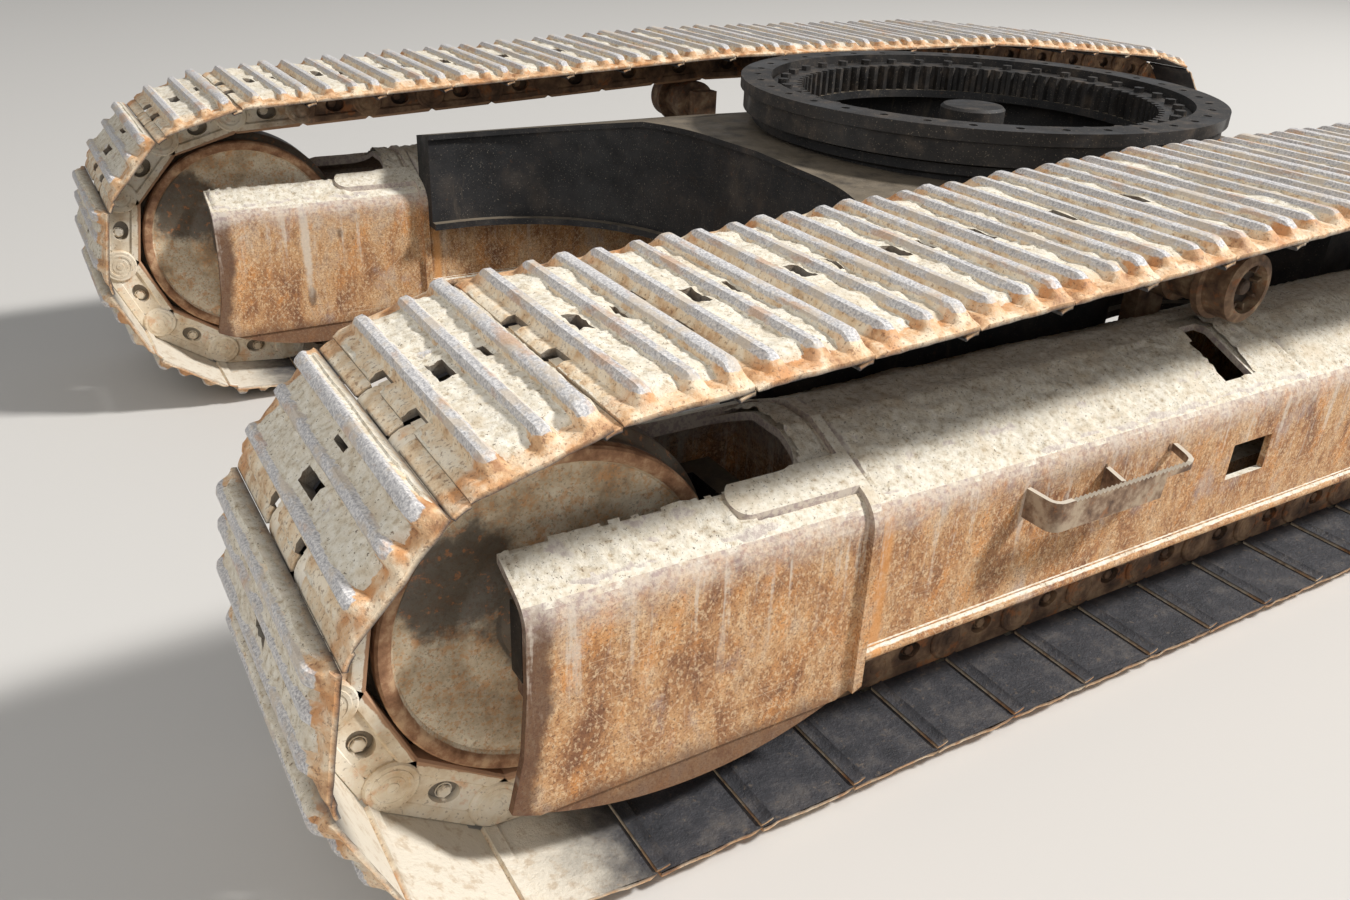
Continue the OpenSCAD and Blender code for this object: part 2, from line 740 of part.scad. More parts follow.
module ring_inner_race() {
    pitch_angle = 360 / ring_teeth;
    height = inner_race_top_z - seat_z;
    color(steel_worn)
        difference() {
            union() {
                translate([0, 0, seat_z])
                    cylinder(r = race_r - 5, h = height, $fn = 120);
                for (i = [0:ring_bolts - 1])
                    rotate([0, 0, (i + 0.5) * 360 / ring_bolts])
                        translate([(gear_root_r + race_r) / 2, 0, inner_race_top_z - 1])
                            cylinder(r = inner_bolt_r, h = inner_bolt_h + 1, $fn = 6);
            }
            translate([0, 0, seat_z - 1])
                linear_extrude(height + 2)
                    polygon([
                        for (i = [0:ring_teeth - 1])
                            for (t = [[0.00, gear_root_r], [0.30, gear_root_r], [0.48, gear_tip_r], [0.82, gear_tip_r]])
                                t[1] * [cos((i + t[0]) * pitch_angle), sin((i + t[0]) * pitch_angle)]
                    ]);
        }
    color(steel_worn)
        rotate_extrude($fn = 120)
            polygon([
                [race_r - 5.5, seat_z + 30], [race_r - race_gap, seat_z + 34],
                [race_r - race_gap, seat_z + 56], [race_r - 5.5, seat_z + 60]
            ]);
}

module ring_outer_race() {
    bottom_z = seat_z + 10;
    color(steel_dark)
        difference() {
            rotate_extrude($fn = 120)
                polygon([
                    [race_r, bottom_z], [ring_r, bottom_z], [ring_r, ring_top_z - 36],
                    [ring_r + 12, ring_top_z - 32], [ring_r + 12, ring_top_z], [race_r, ring_top_z]
                ]);
            for (i = [0:ring_bolts - 1])
                rotate([0, 0, (i + 0.5) * 360 / ring_bolts])
                    translate([ring_bolt_r, 0, bottom_z - 1])
                        cylinder(r = ring_hole_r, h = ring_top_z - bottom_z + 2, $fn = 24);
        }
}

module swivel_body() {
    foot_z = belly_z + belly_t + 0.3;
    color(steel_dark)
        rotate_extrude($fn = 72)
            polygon([
                [swivel_shaft_r + 0.5, belly_z - swivel_below], [swivel_r, belly_z - swivel_below],
                [swivel_r, foot_z], [swivel_foot_r, foot_z], [swivel_foot_r, foot_z + swivel_foot_t],
                [swivel_r + 7, foot_z + swivel_foot_t], [swivel_r, foot_z + swivel_foot_t + 16],
                [swivel_r, swivel_top_z], [swivel_shaft_r + 0.5, swivel_top_z]
            ]);
}

module swivel_rotor() {
    end_z = belly_z - swivel_below - swivel_gap;
    cap_z = swivel_top_z + swivel_gap;
    color(steel_worn)
        rotate_extrude($fn = 72)
            polygon([
                [0, end_z - swivel_end_t], [swivel_end_r, end_z - swivel_end_t], [swivel_end_r, end_z],
                [swivel_shaft_r, end_z], [swivel_shaft_r, cap_z], [swivel_cap_r, cap_z],
                [swivel_cap_r, cap_z + swivel_cap_h - 8], [swivel_cap_r - 8, cap_z + swivel_cap_h],
                [0, cap_z + swivel_cap_h]
            ]);
}

// One side's pieces are drawn about the left track's centreline and mirrored for the right
module side(name) {
    translate([0, gauge / 2, 0])
            children();
    mirror([0, 1, 0])
            translate([0, gauge / 2, 0])
                children();
}

tub();
leg(1, 1);  // leg_front_left
leg(1, -1);  // leg_front_right
leg(-1, 1);  // leg_rear_left
leg(-1, -1);  // leg_rear_right
ring_inner_race();
ring_outer_race();
swivel_body();
swivel_rotor();
side("frame") frame();
side("guard") guard();
side("step") step();
side("idler") idler();
side("yoke") yoke();
side("push_rod") push_rod();
side("sprocket") sprocket();
side("drive") drive();
side("motor") motor();
side("motor_guard") motor_guard();
side("carriers") carriers();
side("rollers") rollers();
side("chain_guide") chain_guide();
side("chain") chain();
side("shoes") shoes();
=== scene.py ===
import math

import bpy
import numpy as np
from mathutils import Matrix, Vector


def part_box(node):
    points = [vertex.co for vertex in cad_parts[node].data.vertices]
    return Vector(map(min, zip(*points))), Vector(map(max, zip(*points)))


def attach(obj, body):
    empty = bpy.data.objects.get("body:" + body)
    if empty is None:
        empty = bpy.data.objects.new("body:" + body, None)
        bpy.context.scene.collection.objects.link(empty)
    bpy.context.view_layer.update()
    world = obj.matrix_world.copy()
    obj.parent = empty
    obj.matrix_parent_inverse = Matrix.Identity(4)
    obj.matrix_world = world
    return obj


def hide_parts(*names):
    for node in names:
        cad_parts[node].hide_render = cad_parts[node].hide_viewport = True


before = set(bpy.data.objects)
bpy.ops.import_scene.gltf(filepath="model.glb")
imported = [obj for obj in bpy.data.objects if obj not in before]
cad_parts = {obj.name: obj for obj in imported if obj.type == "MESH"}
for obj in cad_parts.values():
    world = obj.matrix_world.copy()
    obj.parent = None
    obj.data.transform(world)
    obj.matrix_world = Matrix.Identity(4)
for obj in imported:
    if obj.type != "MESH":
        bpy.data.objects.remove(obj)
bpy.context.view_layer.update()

scene = bpy.context.scene

# Driving sizes, in metres, as in the frame
PITCH = 0.203
LINK_H = 0.105
PIN_H = 0.05
PLATE_T = 0.012
GROUSER_H = 0.028
CHAIN_W = 0.19
PHASE = 0.053
SPROCKET_TEETH = 21
CARRIER_R = 0.075
CARRIER_Z = 0.764
CARRIER_X = (0.35, -0.95)
CARRIER_LIFT = 0.005
ROLLER_R = 0.078
TRACK_BEND_X = -1.5
FRAME_W = 0.45
FRAME_BOTTOM = 0.262
FRAME_SIDE_Z = 0.535
FRAME_BEND_R = 0.055
ROOF_SLOPE = math.radians(24.5)
RIDGE_HALF = 0.04
FRAME_X0 = -1.5
SLOT_LONG, SLOT_Y0, SLOT_Y1 = 0.09, 0.012, 0.17
NOSE_X, NOSE_R, NOSE_HALF = 1.505, 0.06, 0.125

PIN_DROP = LINK_H - PIN_H
SEAT_Z = PLATE_T + GROUSER_H
RAIL_Z = SEAT_Z + LINK_H


def middle(node):
    return (np.sum(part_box(node), axis=0) / 2).tolist()


def extent(node):
    return np.ptp(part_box(node), axis=0).tolist()


TRACK_Y = middle("shoes_left")[1]
SHOE_W = extent("shoes_left")[1]
IDLER_X, _, IDLER_Z = middle("idler_left")
SPROCKET_X, _, SPROCKET_Z = middle("sprocket_left")
IDLER_PIN_R = IDLER_Z - RAIL_Z + PIN_DROP
GUARD_X0, GUARD_X1 = (corner[0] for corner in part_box("guard_left"))
ROLLER_Z = RAIL_Z + ROLLER_R
SIDES = (("left", 1), ("right", -1))


# Noise on arrays of points, the same on every run
def value_noise(points, seed):
    cell = np.floor(points).astype(np.int64)
    part = points - cell
    part = part * part * (3 - 2 * part)
    total = np.zeros(len(points))
    for corner in np.ndindex(2, 2, 2):
        at = cell + np.array(corner)
        mixed = at[:, 0] * 374761393 + at[:, 1] * 668265263 + at[:, 2] * 2147483647 + seed * 982451653
        mixed = (mixed ^ (mixed >> 13)) * 1274126177
        mixed = (mixed ^ (mixed >> 16)) & 0xFFFFFF
        weight = np.prod(np.where(np.array(corner) == 1, part, 1 - part), axis=1)
        total += weight * mixed / 0xFFFFFF
    return total * 2 - 1


def fractal(points, octaves, seed):
    points = np.asarray(points, dtype=float)
    total, size, norm = np.zeros(len(points)), 1.0, 0.0
    for octave in range(octaves):
        total += size * value_noise(points * 2 ** octave, seed + octave)
        norm += size
        size /= 2
    return total / norm


def smooth(low, high, x):
    t = np.clip((x - low) / (high - low), 0, 1)
    return t * t * (3 - 2 * t)


def unit(rows):
    return rows / np.maximum(np.linalg.norm(rows, axis=1)[:, None], 1e-9)


# The blue mark of a mesh: painted shade on shoes, links and carrier caps, grease on the idler, whatever its
# material makes of it
SHADE_AND_GREASE = np.array((0, 0, 1.0))


# Meshes are gathered as parts and joined into one piece
class Parts:
    def __init__(self):
        self.points, self.faces, self.marks = [], [], []
        self.count = 0

    def add(self, points, faces, marks=(0, 0, 0)):
        points = np.asarray(points, dtype=float)
        marks = np.asarray(marks, dtype=float)
        self.marks.append(np.tile(marks, (len(points), 1)) if marks.ndim == 1 else marks)
        self.points.append(points)
        self.faces.extend([tuple(i + self.count for i in face) for face in faces])
        self.count += len(points)
        return self

    def piece(self, name, slot, material, sign, replaces=(), sharp=35, body="undercarriage"):
        """One mesh of all parts, on the left side as gathered, mirrored where sign is -1."""
        points = np.concatenate(self.points)
        marks = np.concatenate(self.marks)
        faces = self.faces
        if sign < 0:
            points = points * (1, -1, 1)
            faces = flipped(faces)
        mesh = bpy.data.meshes.new(name)
        mesh.from_pydata([tuple(p) for p in points], [], faces)
        mesh.validate()
        layer = mesh.color_attributes.new("marks", "FLOAT_COLOR", "POINT")
        layer.data.foreach_set("color", np.c_[marks, np.ones(len(marks))].ravel())
        mesh.shade_smooth()
        mesh.set_sharp_from_angle(angle=math.radians(sharp))
        mesh.materials.append(material)
        obj = bpy.data.objects.new(name, mesh)
        scene.collection.objects.link(obj)
        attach(obj, body)
        if replaces:
            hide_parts(*replaces)


def flipped(faces):
    return [face[::-1] for face in faces]


def tube_faces(rings, n, first=0):
    """Faces between rings of n points each, the first of them at index first."""
    corners = ((i * n + first, k, (k + 1) % n) for i in range(rings - 1) for k in range(n))
    return [(at + k, at + m, at + n + m, at + n + k) for at, k, m in corners]


def soften(obj, width):
    mod = obj.modifiers.new("edges", "BEVEL")
    mod.width = width
    mod.segments = 2
    mod.limit_method = "ANGLE"
    mod.angle_limit = math.radians(38)


def extruded(outline, y0, y1, chamfer):
    """A closed (x, z) outline made solid from y0 to y1, with its rims chamfered."""
    outline = np.asarray(outline, dtype=float)
    n = len(outline)
    after = np.roll(outline, -1, 0)
    if np.sum(outline[:, 0] * after[:, 1] - after[:, 0] * outline[:, 1]) < 0:
        outline = outline[::-1]
    before, after = np.roll(outline, 1, 0), np.roll(outline, -1, 0)
    both = unit(outline - before) + unit(after - outline)
    rim = outline + unit(np.c_[-both[:, 1], both[:, 0]]) * chamfer
    levels = [(rim, y0), (outline, y0 + chamfer), (outline, y1 - chamfer), (rim, y1)]
    points = np.concatenate([np.c_[line[:, 0], np.full(n, y), line[:, 1]] for line, y in levels])
    last = (len(levels) - 1) * n
    faces = [tuple(range(n)), tuple(range(last + n - 1, last - 1, -1))]
    for level in range(len(levels) - 1):
        o = level * n
        faces += [(o + i, o + i + n, o + (i + 1) % n + n, o + (i + 1) % n) for i in range(n)]
    return points, faces


def holed(centre, radii, xs, zs, y0, y1, steps=24):
    """A plate in x and z, solid from y0 to y1, with an oval hole."""
    angle = 2 * np.pi * np.arange(steps) / steps
    way = np.c_[np.cos(angle), np.sin(angle)]
    reach = np.where(way > 0, (xs[1] - centre[0], zs[1] - centre[1]), (centre[0] - xs[0], centre[1] - zs[0]))
    rim = way * np.min(reach / np.maximum(np.abs(way), 1e-6), axis=1)[:, None]
    loops = [(line + centre, y) for y in (y0, y1) for line in (rim, way * radii)]
    points = np.concatenate([np.c_[line[:, 0], np.full(steps, y), line[:, 1]] for line, y in loops])
    faces = []
    for i in range(steps):
        j = (i + 1) % steps
        a, b, c, d = (np.array((i, j)) + k * steps for k in range(4))
        faces += [(a[0], a[1], b[1], b[0]), (c[0], d[0], d[1], c[1]),
                  (a[0], c[0], c[1], a[1]), (b[0], b[1], d[1], d[0])]
    return points, faces


def lathe(profile, steps, axis="y", at=(0, 0, 0), closed=False):
    """A profile of (radius, place along the axis), bottom first and outwards, turned about y or z."""
    profile = np.asarray(profile, dtype=float)
    n = len(profile)
    angle = np.repeat(2 * np.pi * np.arange(steps) / steps, n)
    r, h = np.tile(profile[:, 0], steps), np.tile(profile[:, 1], steps)
    c, s = r * np.cos(angle), r * np.sin(angle)
    points = np.stack((c, h, s) if axis == "y" else (c, s, h), axis=1) + np.array(at)
    faces = []
    for i in range(steps):
        j = (i + 1) % steps
        for k in range(n if closed else n - 1):
            m = (k + 1) % n
            faces.append((i * n + k, j * n + k, j * n + m, i * n + m))
    return points, flipped(faces) if axis == "y" else faces


def hex_bolt(r, h, washer):
    """A bolt head with its washer, standing on z = 0."""
    seat = 0.003
    plate = [(0.0005, 0), (r * washer, 0), (r * washer, seat), (r * 1.02, seat)]
    points, faces = lathe(plate, 12, "z")
    count = len(points)
    rings = [(r, seat), (r, h * 0.85), (r * 0.86, h)]
    turn = [i * math.pi / 3 for i in range(6)]
    head = [(reach * math.cos(a), reach * math.sin(a), z) for reach, z in rings for a in turn]
    faces += tube_faces(3, 6, count)
    faces.append(tuple(count + 12 + i for i in range(6)))
    return np.concatenate([points, head]), faces


def moved(shape, at, angle, axis="X"):
    """The shape turned by an angle about an axis through 0, then moved to at."""
    turn = np.array(Matrix.Rotation(angle, 3, axis))
    return np.asarray(shape[0], dtype=float) @ turn.T + np.array(at), shape[1]


def bolt_circle(parts, wheel, count, r, y, size, way, start=0.0, marks=(0, 0, 0)):
    """Bolts at (x, z) of a wheel, on its face at y, with their heads towards -y where way is 1."""
    for i in range(count):
        a = start + i * 2 * math.pi / count
        at = (wheel[0] + r * math.cos(a), y, wheel[1] + r * math.sin(a))
        parts.add(*moved(hex_bolt(*size), at, way * math.pi / 2), marks)


def bead(path, r, seed, spacing=0.006):
    """A weld bead: a tube of uneven thickness along the path."""
    path = np.asarray(path, dtype=float)
    long = np.r_[0, np.cumsum(np.linalg.norm(np.diff(path, axis=0), axis=1))]
    at = np.linspace(0, long[-1], max(3, int(long[-1] / spacing)))
    line = np.stack([np.interp(at, long, path[:, k]) for k in range(3)], axis=1)
    along = unit(np.gradient(line, axis=0))
    side = unit(np.cross(along, np.where(np.abs(along[:, 2:]) > 0.8, (1.0, 0, 0), (0, 0, 1.0))))
    up = np.cross(side, along)
    wide = r * (1 + 0.16 * np.sin(np.arange(len(at)) * 2.1) + 0.25 * fractal(line * 90, 2, seed))
    wide[[0, -1]] *= 0.4
    turn = np.arange(6) * math.pi / 3
    rings = [line + wide[:, None] * (math.cos(a) * side + math.sin(a) * up) for a in turn]
    points = np.stack(rings, axis=1).reshape(-1, 3)
    return points, tube_faces(len(at), 6)


# Shader helpers. A colour is written as it looks, red, green and blue from 0 to 255
def linear(colour):
    return tuple(((c / 255 + 0.055) / 1.055) ** 2.4 if c > 10 else c / 255 / 12.92 for c in colour)


class Shader:
    def __init__(self, name, roughness=0.8):
        self.material = bpy.data.materials.new(name)
        self.material.use_nodes = True
        self.tree = self.material.node_tree
        self.bsdf = next(n for n in self.tree.nodes if n.type == "BSDF_PRINCIPLED")
        self.bsdf.inputs["Roughness"].default_value = roughness
        self.place = self.add("ShaderNodeTexCoord").outputs["Object"]
        axes = self.add("ShaderNodeSeparateXYZ", {"Vector": self.place})
        self.x, self.y, self.z = (axes.outputs[axis] for axis in "XYZ")

    def add(self, kind, inputs=(), **settings):
        node = self.tree.nodes.new(kind)
        for key, value in settings.items():
            setattr(node, key, value)
        for key, value in dict(inputs).items():
            self.put(node.inputs[key], value)
        return node

    def put(self, socket, value):
        if hasattr(value, "is_linked"):
            self.tree.links.new(value, socket)
        elif isinstance(value, tuple) and socket.type == "RGBA":
            socket.default_value = (*linear(value), 1)
        else:
            socket.default_value = value

    def mapped(self, place, **change):
        return self.add("ShaderNodeMapping", {"Vector": place, **change}).outputs["Vector"]

    def noise(self, scale, detail, roughness=0.55, stretch=(1, 1, 1), distortion=0.0, tilt=0.0):
        """Noise in space, squeezed by stretch after a turn by tilt about the part's Y."""
        place = self.place
        if tilt:
            place = self.mapped(place, Rotation=(0, tilt, 0))
        place = self.mapped(place, Scale=stretch)
        inputs = {"Vector": place, "Scale": scale, "Detail": detail, "Roughness": roughness,
                  "Distortion": distortion}
        return self.add("ShaderNodeTexNoise", inputs).outputs["Fac"]

    def ramp(self, value, *stops):
        """Each stop is a level and a colour or a number."""
        node = self.add("ShaderNodeValToRGB", {"Fac": value})
        elements = node.color_ramp.elements
        while len(elements) < len(stops):
            elements.new(0.5)
        for element, (level, tone) in zip(elements, stops):
            element.position = level
            element.color = (*linear(tone), 1) if isinstance(tone, tuple) else (tone, tone, tone, 1)
        return node.outputs["Color"]

    def tones(self, noise, *stops):
        """Noise in colours. Each stop is a level, red, green and blue."""
        return self.ramp(self.noise(*noise), *((level, tuple(colour)) for level, *colour in stops))

    def step(self, value, low, high):
        inputs = {"Value": value, "From Min": low, "From Max": high}
        return self.add("ShaderNodeMapRange", inputs, interpolation_type="SMOOTHSTEP").outputs["Result"]

    def math(self, operation, a, b=0):
        return self.add("ShaderNodeMath", {0: a, 1: b}, operation=operation).outputs["Value"]

    def vector_math(self, operation, a, b):
        return self.add("ShaderNodeVectorMath", {0: a, 1: b}, operation=operation)

    def times(self, a, b):
        return self.math("MULTIPLY", a, b)

    def ragged(self, value, scale, amount, detail=4):
        """The value, unsettled by noise, so that a step of it gets a broken edge."""
        spread = self.math("SUBTRACT", self.noise(scale, detail, 0.68), 0.5)
        return self.math("ADD", value, self.times(spread, amount))

    def mix(self, factor, a, b, blend="MIX"):
        node = self.add("ShaderNodeMix", data_type="RGBA", blend_type=blend)
        self.put(node.inputs["Factor"], factor)
        for socket, value in zip((s for s in node.inputs if s.type == "RGBA"), (a, b)):
            self.put(socket, value)
        return next(s for s in node.outputs if s.type == "RGBA")

    def cover(self, base, mask, colour, amount):
        """The colour on the base where the mask is 1, as strong as amount says."""
        return self.mix(self.times(mask, amount), base, colour)

    def patch(self, base, colour, scale, low, high, amount, detail=4, stretch=(1, 1, 1), tilt=0.0):
        """Spots of a colour on the base, where the noise is over low."""
        spots = self.step(self.noise(scale, detail, 0.68, stretch, tilt=tilt), low, high)
        return self.cover(base, spots, colour, amount)

    def marks(self):
        colour = self.add("ShaderNodeVertexColor", layer_name="marks").outputs["Color"]
        split = self.add("ShaderNodeSeparateColor", {"Color": colour})
        return [split.outputs[name] for name in ("Red", "Green", "Blue")]

    def facing_up(self, low, high):
        normal = self.add("ShaderNodeNewGeometry").outputs["Normal"]
        return self.step(self.add("ShaderNodeSeparateXYZ", {"Vector": normal}).outputs["Z"], low, high)

    def band(self, place, low, high, soft):
        """1 between low and high, fading over soft."""
        rise, fall = self.step(place, low - soft, low + soft), self.step(place, high + soft, high - soft)
        return self.times(rise, fall)

    def bump(self, noise, distance, strength, below=None):
        inputs = {"Height": self.noise(*noise), "Distance": distance, "Strength": strength}
        if below is not None:
            inputs["Normal"] = below
        return self.add("ShaderNodeBump", inputs).outputs["Normal"]

    def done(self, colour, **inputs):
        """The material, with its Base Color and any of Roughness, Metallic and Normal."""
        for name, value in {"Base Color": colour, **inputs}.items():
            self.put(self.bsdf.inputs[name], value)
        return self.material


WHITE = (255, 255, 255)
MUD = (210, 199, 178)
MUD_PALE = (226, 218, 202)
MUD_DARK = (172, 153, 127)
RUST = (198, 136, 80)
RUST_DARK = (112, 76, 52)
LILAC = (168, 153, 148)

# Zones of the looks, each from where it starts to where it is whole: shoes and links, then frames and guards
SHOE_ENDS = (0.215, 0.29)
# Inner faces of shoes low at the front: pale dust in painted sunlight, where elsewhere they are painted shade
SUNLIT_DUST_X, SUNLIT_DUST_Z = (1.86, 2.06), (0.42, 0.3)
DUSTY_LINKS_X = (1.66, 1.9)
# Frames and guards darken towards the bottom: mostly painted shade, partly a real darker low strip
LOW_SHADE_AND_STAIN_Z = (0.27, 0.15)
NOSE_RUST_X, NOSE_LEAN_Z, NOSE_LEAN = (2.004, 2.03), (0.43, 0.23), -0.032
SEAM_X = (1.384, 1.408)
BLEACHED_Z = (0.485, 0.6)
DRIPS_Z, LIP_Z = (0.4, 0.6), (0.266, 0.277)
FAR_Y = (-0.8, -0.84)


def mud_colour(s):
    """Dried mud: pale crumbs with darker grit and pores."""
    body = s.ramp(s.noise(75, 5, 0.65), (0.3, MUD_DARK), (0.44, MUD), (0.6, MUD_PALE))
    body = s.patch(body, (200, 180, 150), 9, 0.5, 0.68, 0.5)
    pores = s.ramp(s.noise(190, 3, 0.75), (0.33, (96, 78, 60)), (0.4, WHITE))
    return s.mix(0.85, body, pores, "MULTIPLY")


def mud_bump(s):
    fine = s.bump((380, 3, 0.7), 0.0009, 0.8)
    return s.bump((110, 4, 0.7), 0.0035, 0.8, fine)


def make_mud():
    """A thin film where the mud doesn't face up, crumbs on the rest."""
    s = Shader("dried_mud", 0.96)
    thin = s.step(s.ragged(s.facing_up(0.55, 0.92), 24, 1.5, 5), 0.62, 0.3)
    film = s.patch((186, 172, 162), (212, 202, 188), 90, 0.42, 0.56, 0.9)
    return s.done(s.mix(thin, mud_colour(s), film), Normal=mud_bump(s))


def make_shoe():
    """Marks: red is mud, green is the worn top of a grouser, blue is the inner face and the walls of holes,
    painted in shade.
    """
    s = Shader("shoe_steel")
    mud, worn, inner = s.marks()
    across = s.math("ABSOLUTE", s.y)
    ends = (s.step(across, *(TRACK_Y + way * place for place in SHOE_ENDS)) for way in (1, -1))
    ends = s.math("ADD", *ends)
    rust = s.tones((22, 5, 0.65), (0.34, 164, 117, 78), (0.48, 212, 170, 126), (0.62, 230, 208, 177))
    rust = s.patch(rust, RUST, 13, 0.5, 0.64, 0.75)
    sand = s.tones((30, 5, 0.65), (0.34, 194, 158, 120), (0.46, 222, 197, 162), (0.6, 234, 220, 196))
    rust = s.mix(s.step(s.ragged(ends, 14, 0.9), 0.1, 0.45), sand, rust)
    rust = s.patch(rust, RUST_DARK, 150, 0.55, 0.66, 0.6, 3)
    steel = s.tones((230, 3, 0.7), (0.34, 152, 149, 149), (0.5, 196, 192, 190), (0.66, 228, 223, 217))
    steel = s.patch(steel, (203, 187, 166), 24, 0.48, 0.62, 0.75, 5, (1, 0.5, 1))
    steel = s.patch(steel, (196, 150, 108), 15, 0.56, 0.68, 0.6, 4, (1, 0.4, 1))
    metal = s.mix(s.step(s.ragged(worn, 80, 0.8), 0.34, 0.56), rust, steel)
    cover = s.step(s.ragged(s.math("SUBTRACT", mud, s.times(ends, 0.35)), 110, 0.9), 0.36, 0.5)
    stain = s.step(s.ragged(s.times(ends, 0.5), 7, 1.2, 5), 0.12, 0.5)
    colour = s.mix(cover, metal, s.cover(mud_colour(s), stain, (206, 160, 112), 0.6))
    # Inner face, walls and underside: dark grey painted shade, turning to pale dust in painted sunlight low
    # at the front
    dark = s.tones((18, 5, 0.65), (0.34, 40, 40, 43), (0.52, 54, 53, 56), (0.68, 78, 74, 72))
    dark = s.patch(dark, (112, 98, 82), 60, 0.6, 0.7, 0.5)
    # Pale dust in painted sunlight low at the front
    dust = s.patch((218, 208, 190), (190, 170, 144), 40, 0.5, 0.66, 0.7)
    sunlit_dusty_front = s.times(s.step(s.ragged(s.x, 12, 0.16), *SUNLIT_DUST_X), s.step(s.z, *SUNLIT_DUST_Z))
    colour = s.mix(inner, colour, s.mix(sunlit_dusty_front, dark, dust))
    return s.done(colour, Roughness=s.ramp(cover, (0.0, 0.6), (1.0, 0.97)), Normal=mud_bump(s))


def make_chain():
    """Marks: green is the worn rail, blue is painted shade. Only links at the idler are pale with dust."""
    s = Shader("chain_steel")
    _, worn, link_shade = s.marks()
    dust = s.tones((14, 5, 0.6), (0.34, 204, 178, 144), (0.48, 230, 214, 188), (0.64, 240, 230, 212))
    dust = s.patch(dust, (214, 160, 108), 20, 0.54, 0.68, 0.6)
    brown = s.tones((14, 5, 0.62), (0.34, 70, 52, 40), (0.5, 116, 88, 66), (0.66, 164, 132, 100))
    brown = s.patch(brown, (176, 108, 58), 18, 0.55, 0.66, 0.6)
    colour = s.mix(s.step(s.ragged(s.x, 9, 0.5), *DUSTY_LINKS_X), brown, dust)
    colour = s.patch(colour, (128, 98, 72), 120, 0.58, 0.68, 0.5, 3)
    colour = s.mix(s.step(s.ragged(worn, 60, 0.6), 0.4, 0.6), colour, (176, 136, 104))
    # Painted shade: near black on pins, bushes and the recess of each link
    colour = s.cover(colour, link_shade, (44, 36, 30), 0.9)
    return s.done(colour, Normal=s.bump((160, 4, 0.65), 0.001, 0.7))


def make_step():
    s = Shader("step_steel")
    base = s.tones((24, 5, 0.66), (0.34, 78, 56, 42), (0.48, 126, 100, 78), (0.62, 166, 146, 122))
    base = s.patch(base, (150, 100, 62), 36, 0.55, 0.66, 0.6)
    colour = s.mix(s.step(s.ragged(s.facing_up(0.3, 0.9), 40, 0.8), 0.45, 0.7), base, (200, 188, 170))
    return s.done(colour, Normal=s.bump((180, 4, 0.7), 0.001, 0.7))


def rusty_plate(s):
    """Brown and orange plate, mottled, with scratches."""
    base = s.tones((10, 6, 0.72, (1, 1, 0.5), 0.4), (0.36, 126, 84, 56), (0.46, 170, 122, 80),
                   (0.54, 196, 152, 106), (0.66, 190, 162, 134))
    base = s.patch(base, (206, 142, 80), 15, 0.5, 0.66, 0.8, 5, (1, 1, 0.4), 0.3)
    base = s.patch(base, (122, 80, 52), 34, 0.52, 0.64, 0.45, 6, (1, 1, 0.6))
    base = s.patch(base, (228, 198, 158), 150, 0.52, 0.6, 0.55, 4, (1, 1, 0.7))
    base = s.patch(base, (96, 64, 44), 230, 0.56, 0.63, 0.65, 3)
    base = s.patch(base, LILAC, 8, 0.55, 0.68, 0.5, 5, (1, 1, 0.7))
    for tilt, scale in ((0.0, 8), (0.9, 11), (-0.7, 6), (1.5, 9)):
        base = s.patch(base, (222, 196, 164), scale, 0.64, 0.7, 0.4, 2, (0.5, 0.5, 40), tilt)
    grain = s.ramp(s.noise(240, 4, 0.8), (0.36, (150, 124, 104)), (0.48, WHITE))
    return s.mix(0.8, base, grain, "MULTIPLY")


# Oil drips and a pale streak on the far guard: place (x, z), size (x, z), colour
FAR_MARKS = (
    ((1.804, 0.285), (0.016, 0.045), (82, 56, 38)),
    ((1.7, 0.475), (0.012, 0.022), (96, 70, 50)),
    ((1.806, 0.47), (0.018, 0.23), (206, 192, 174)),
)


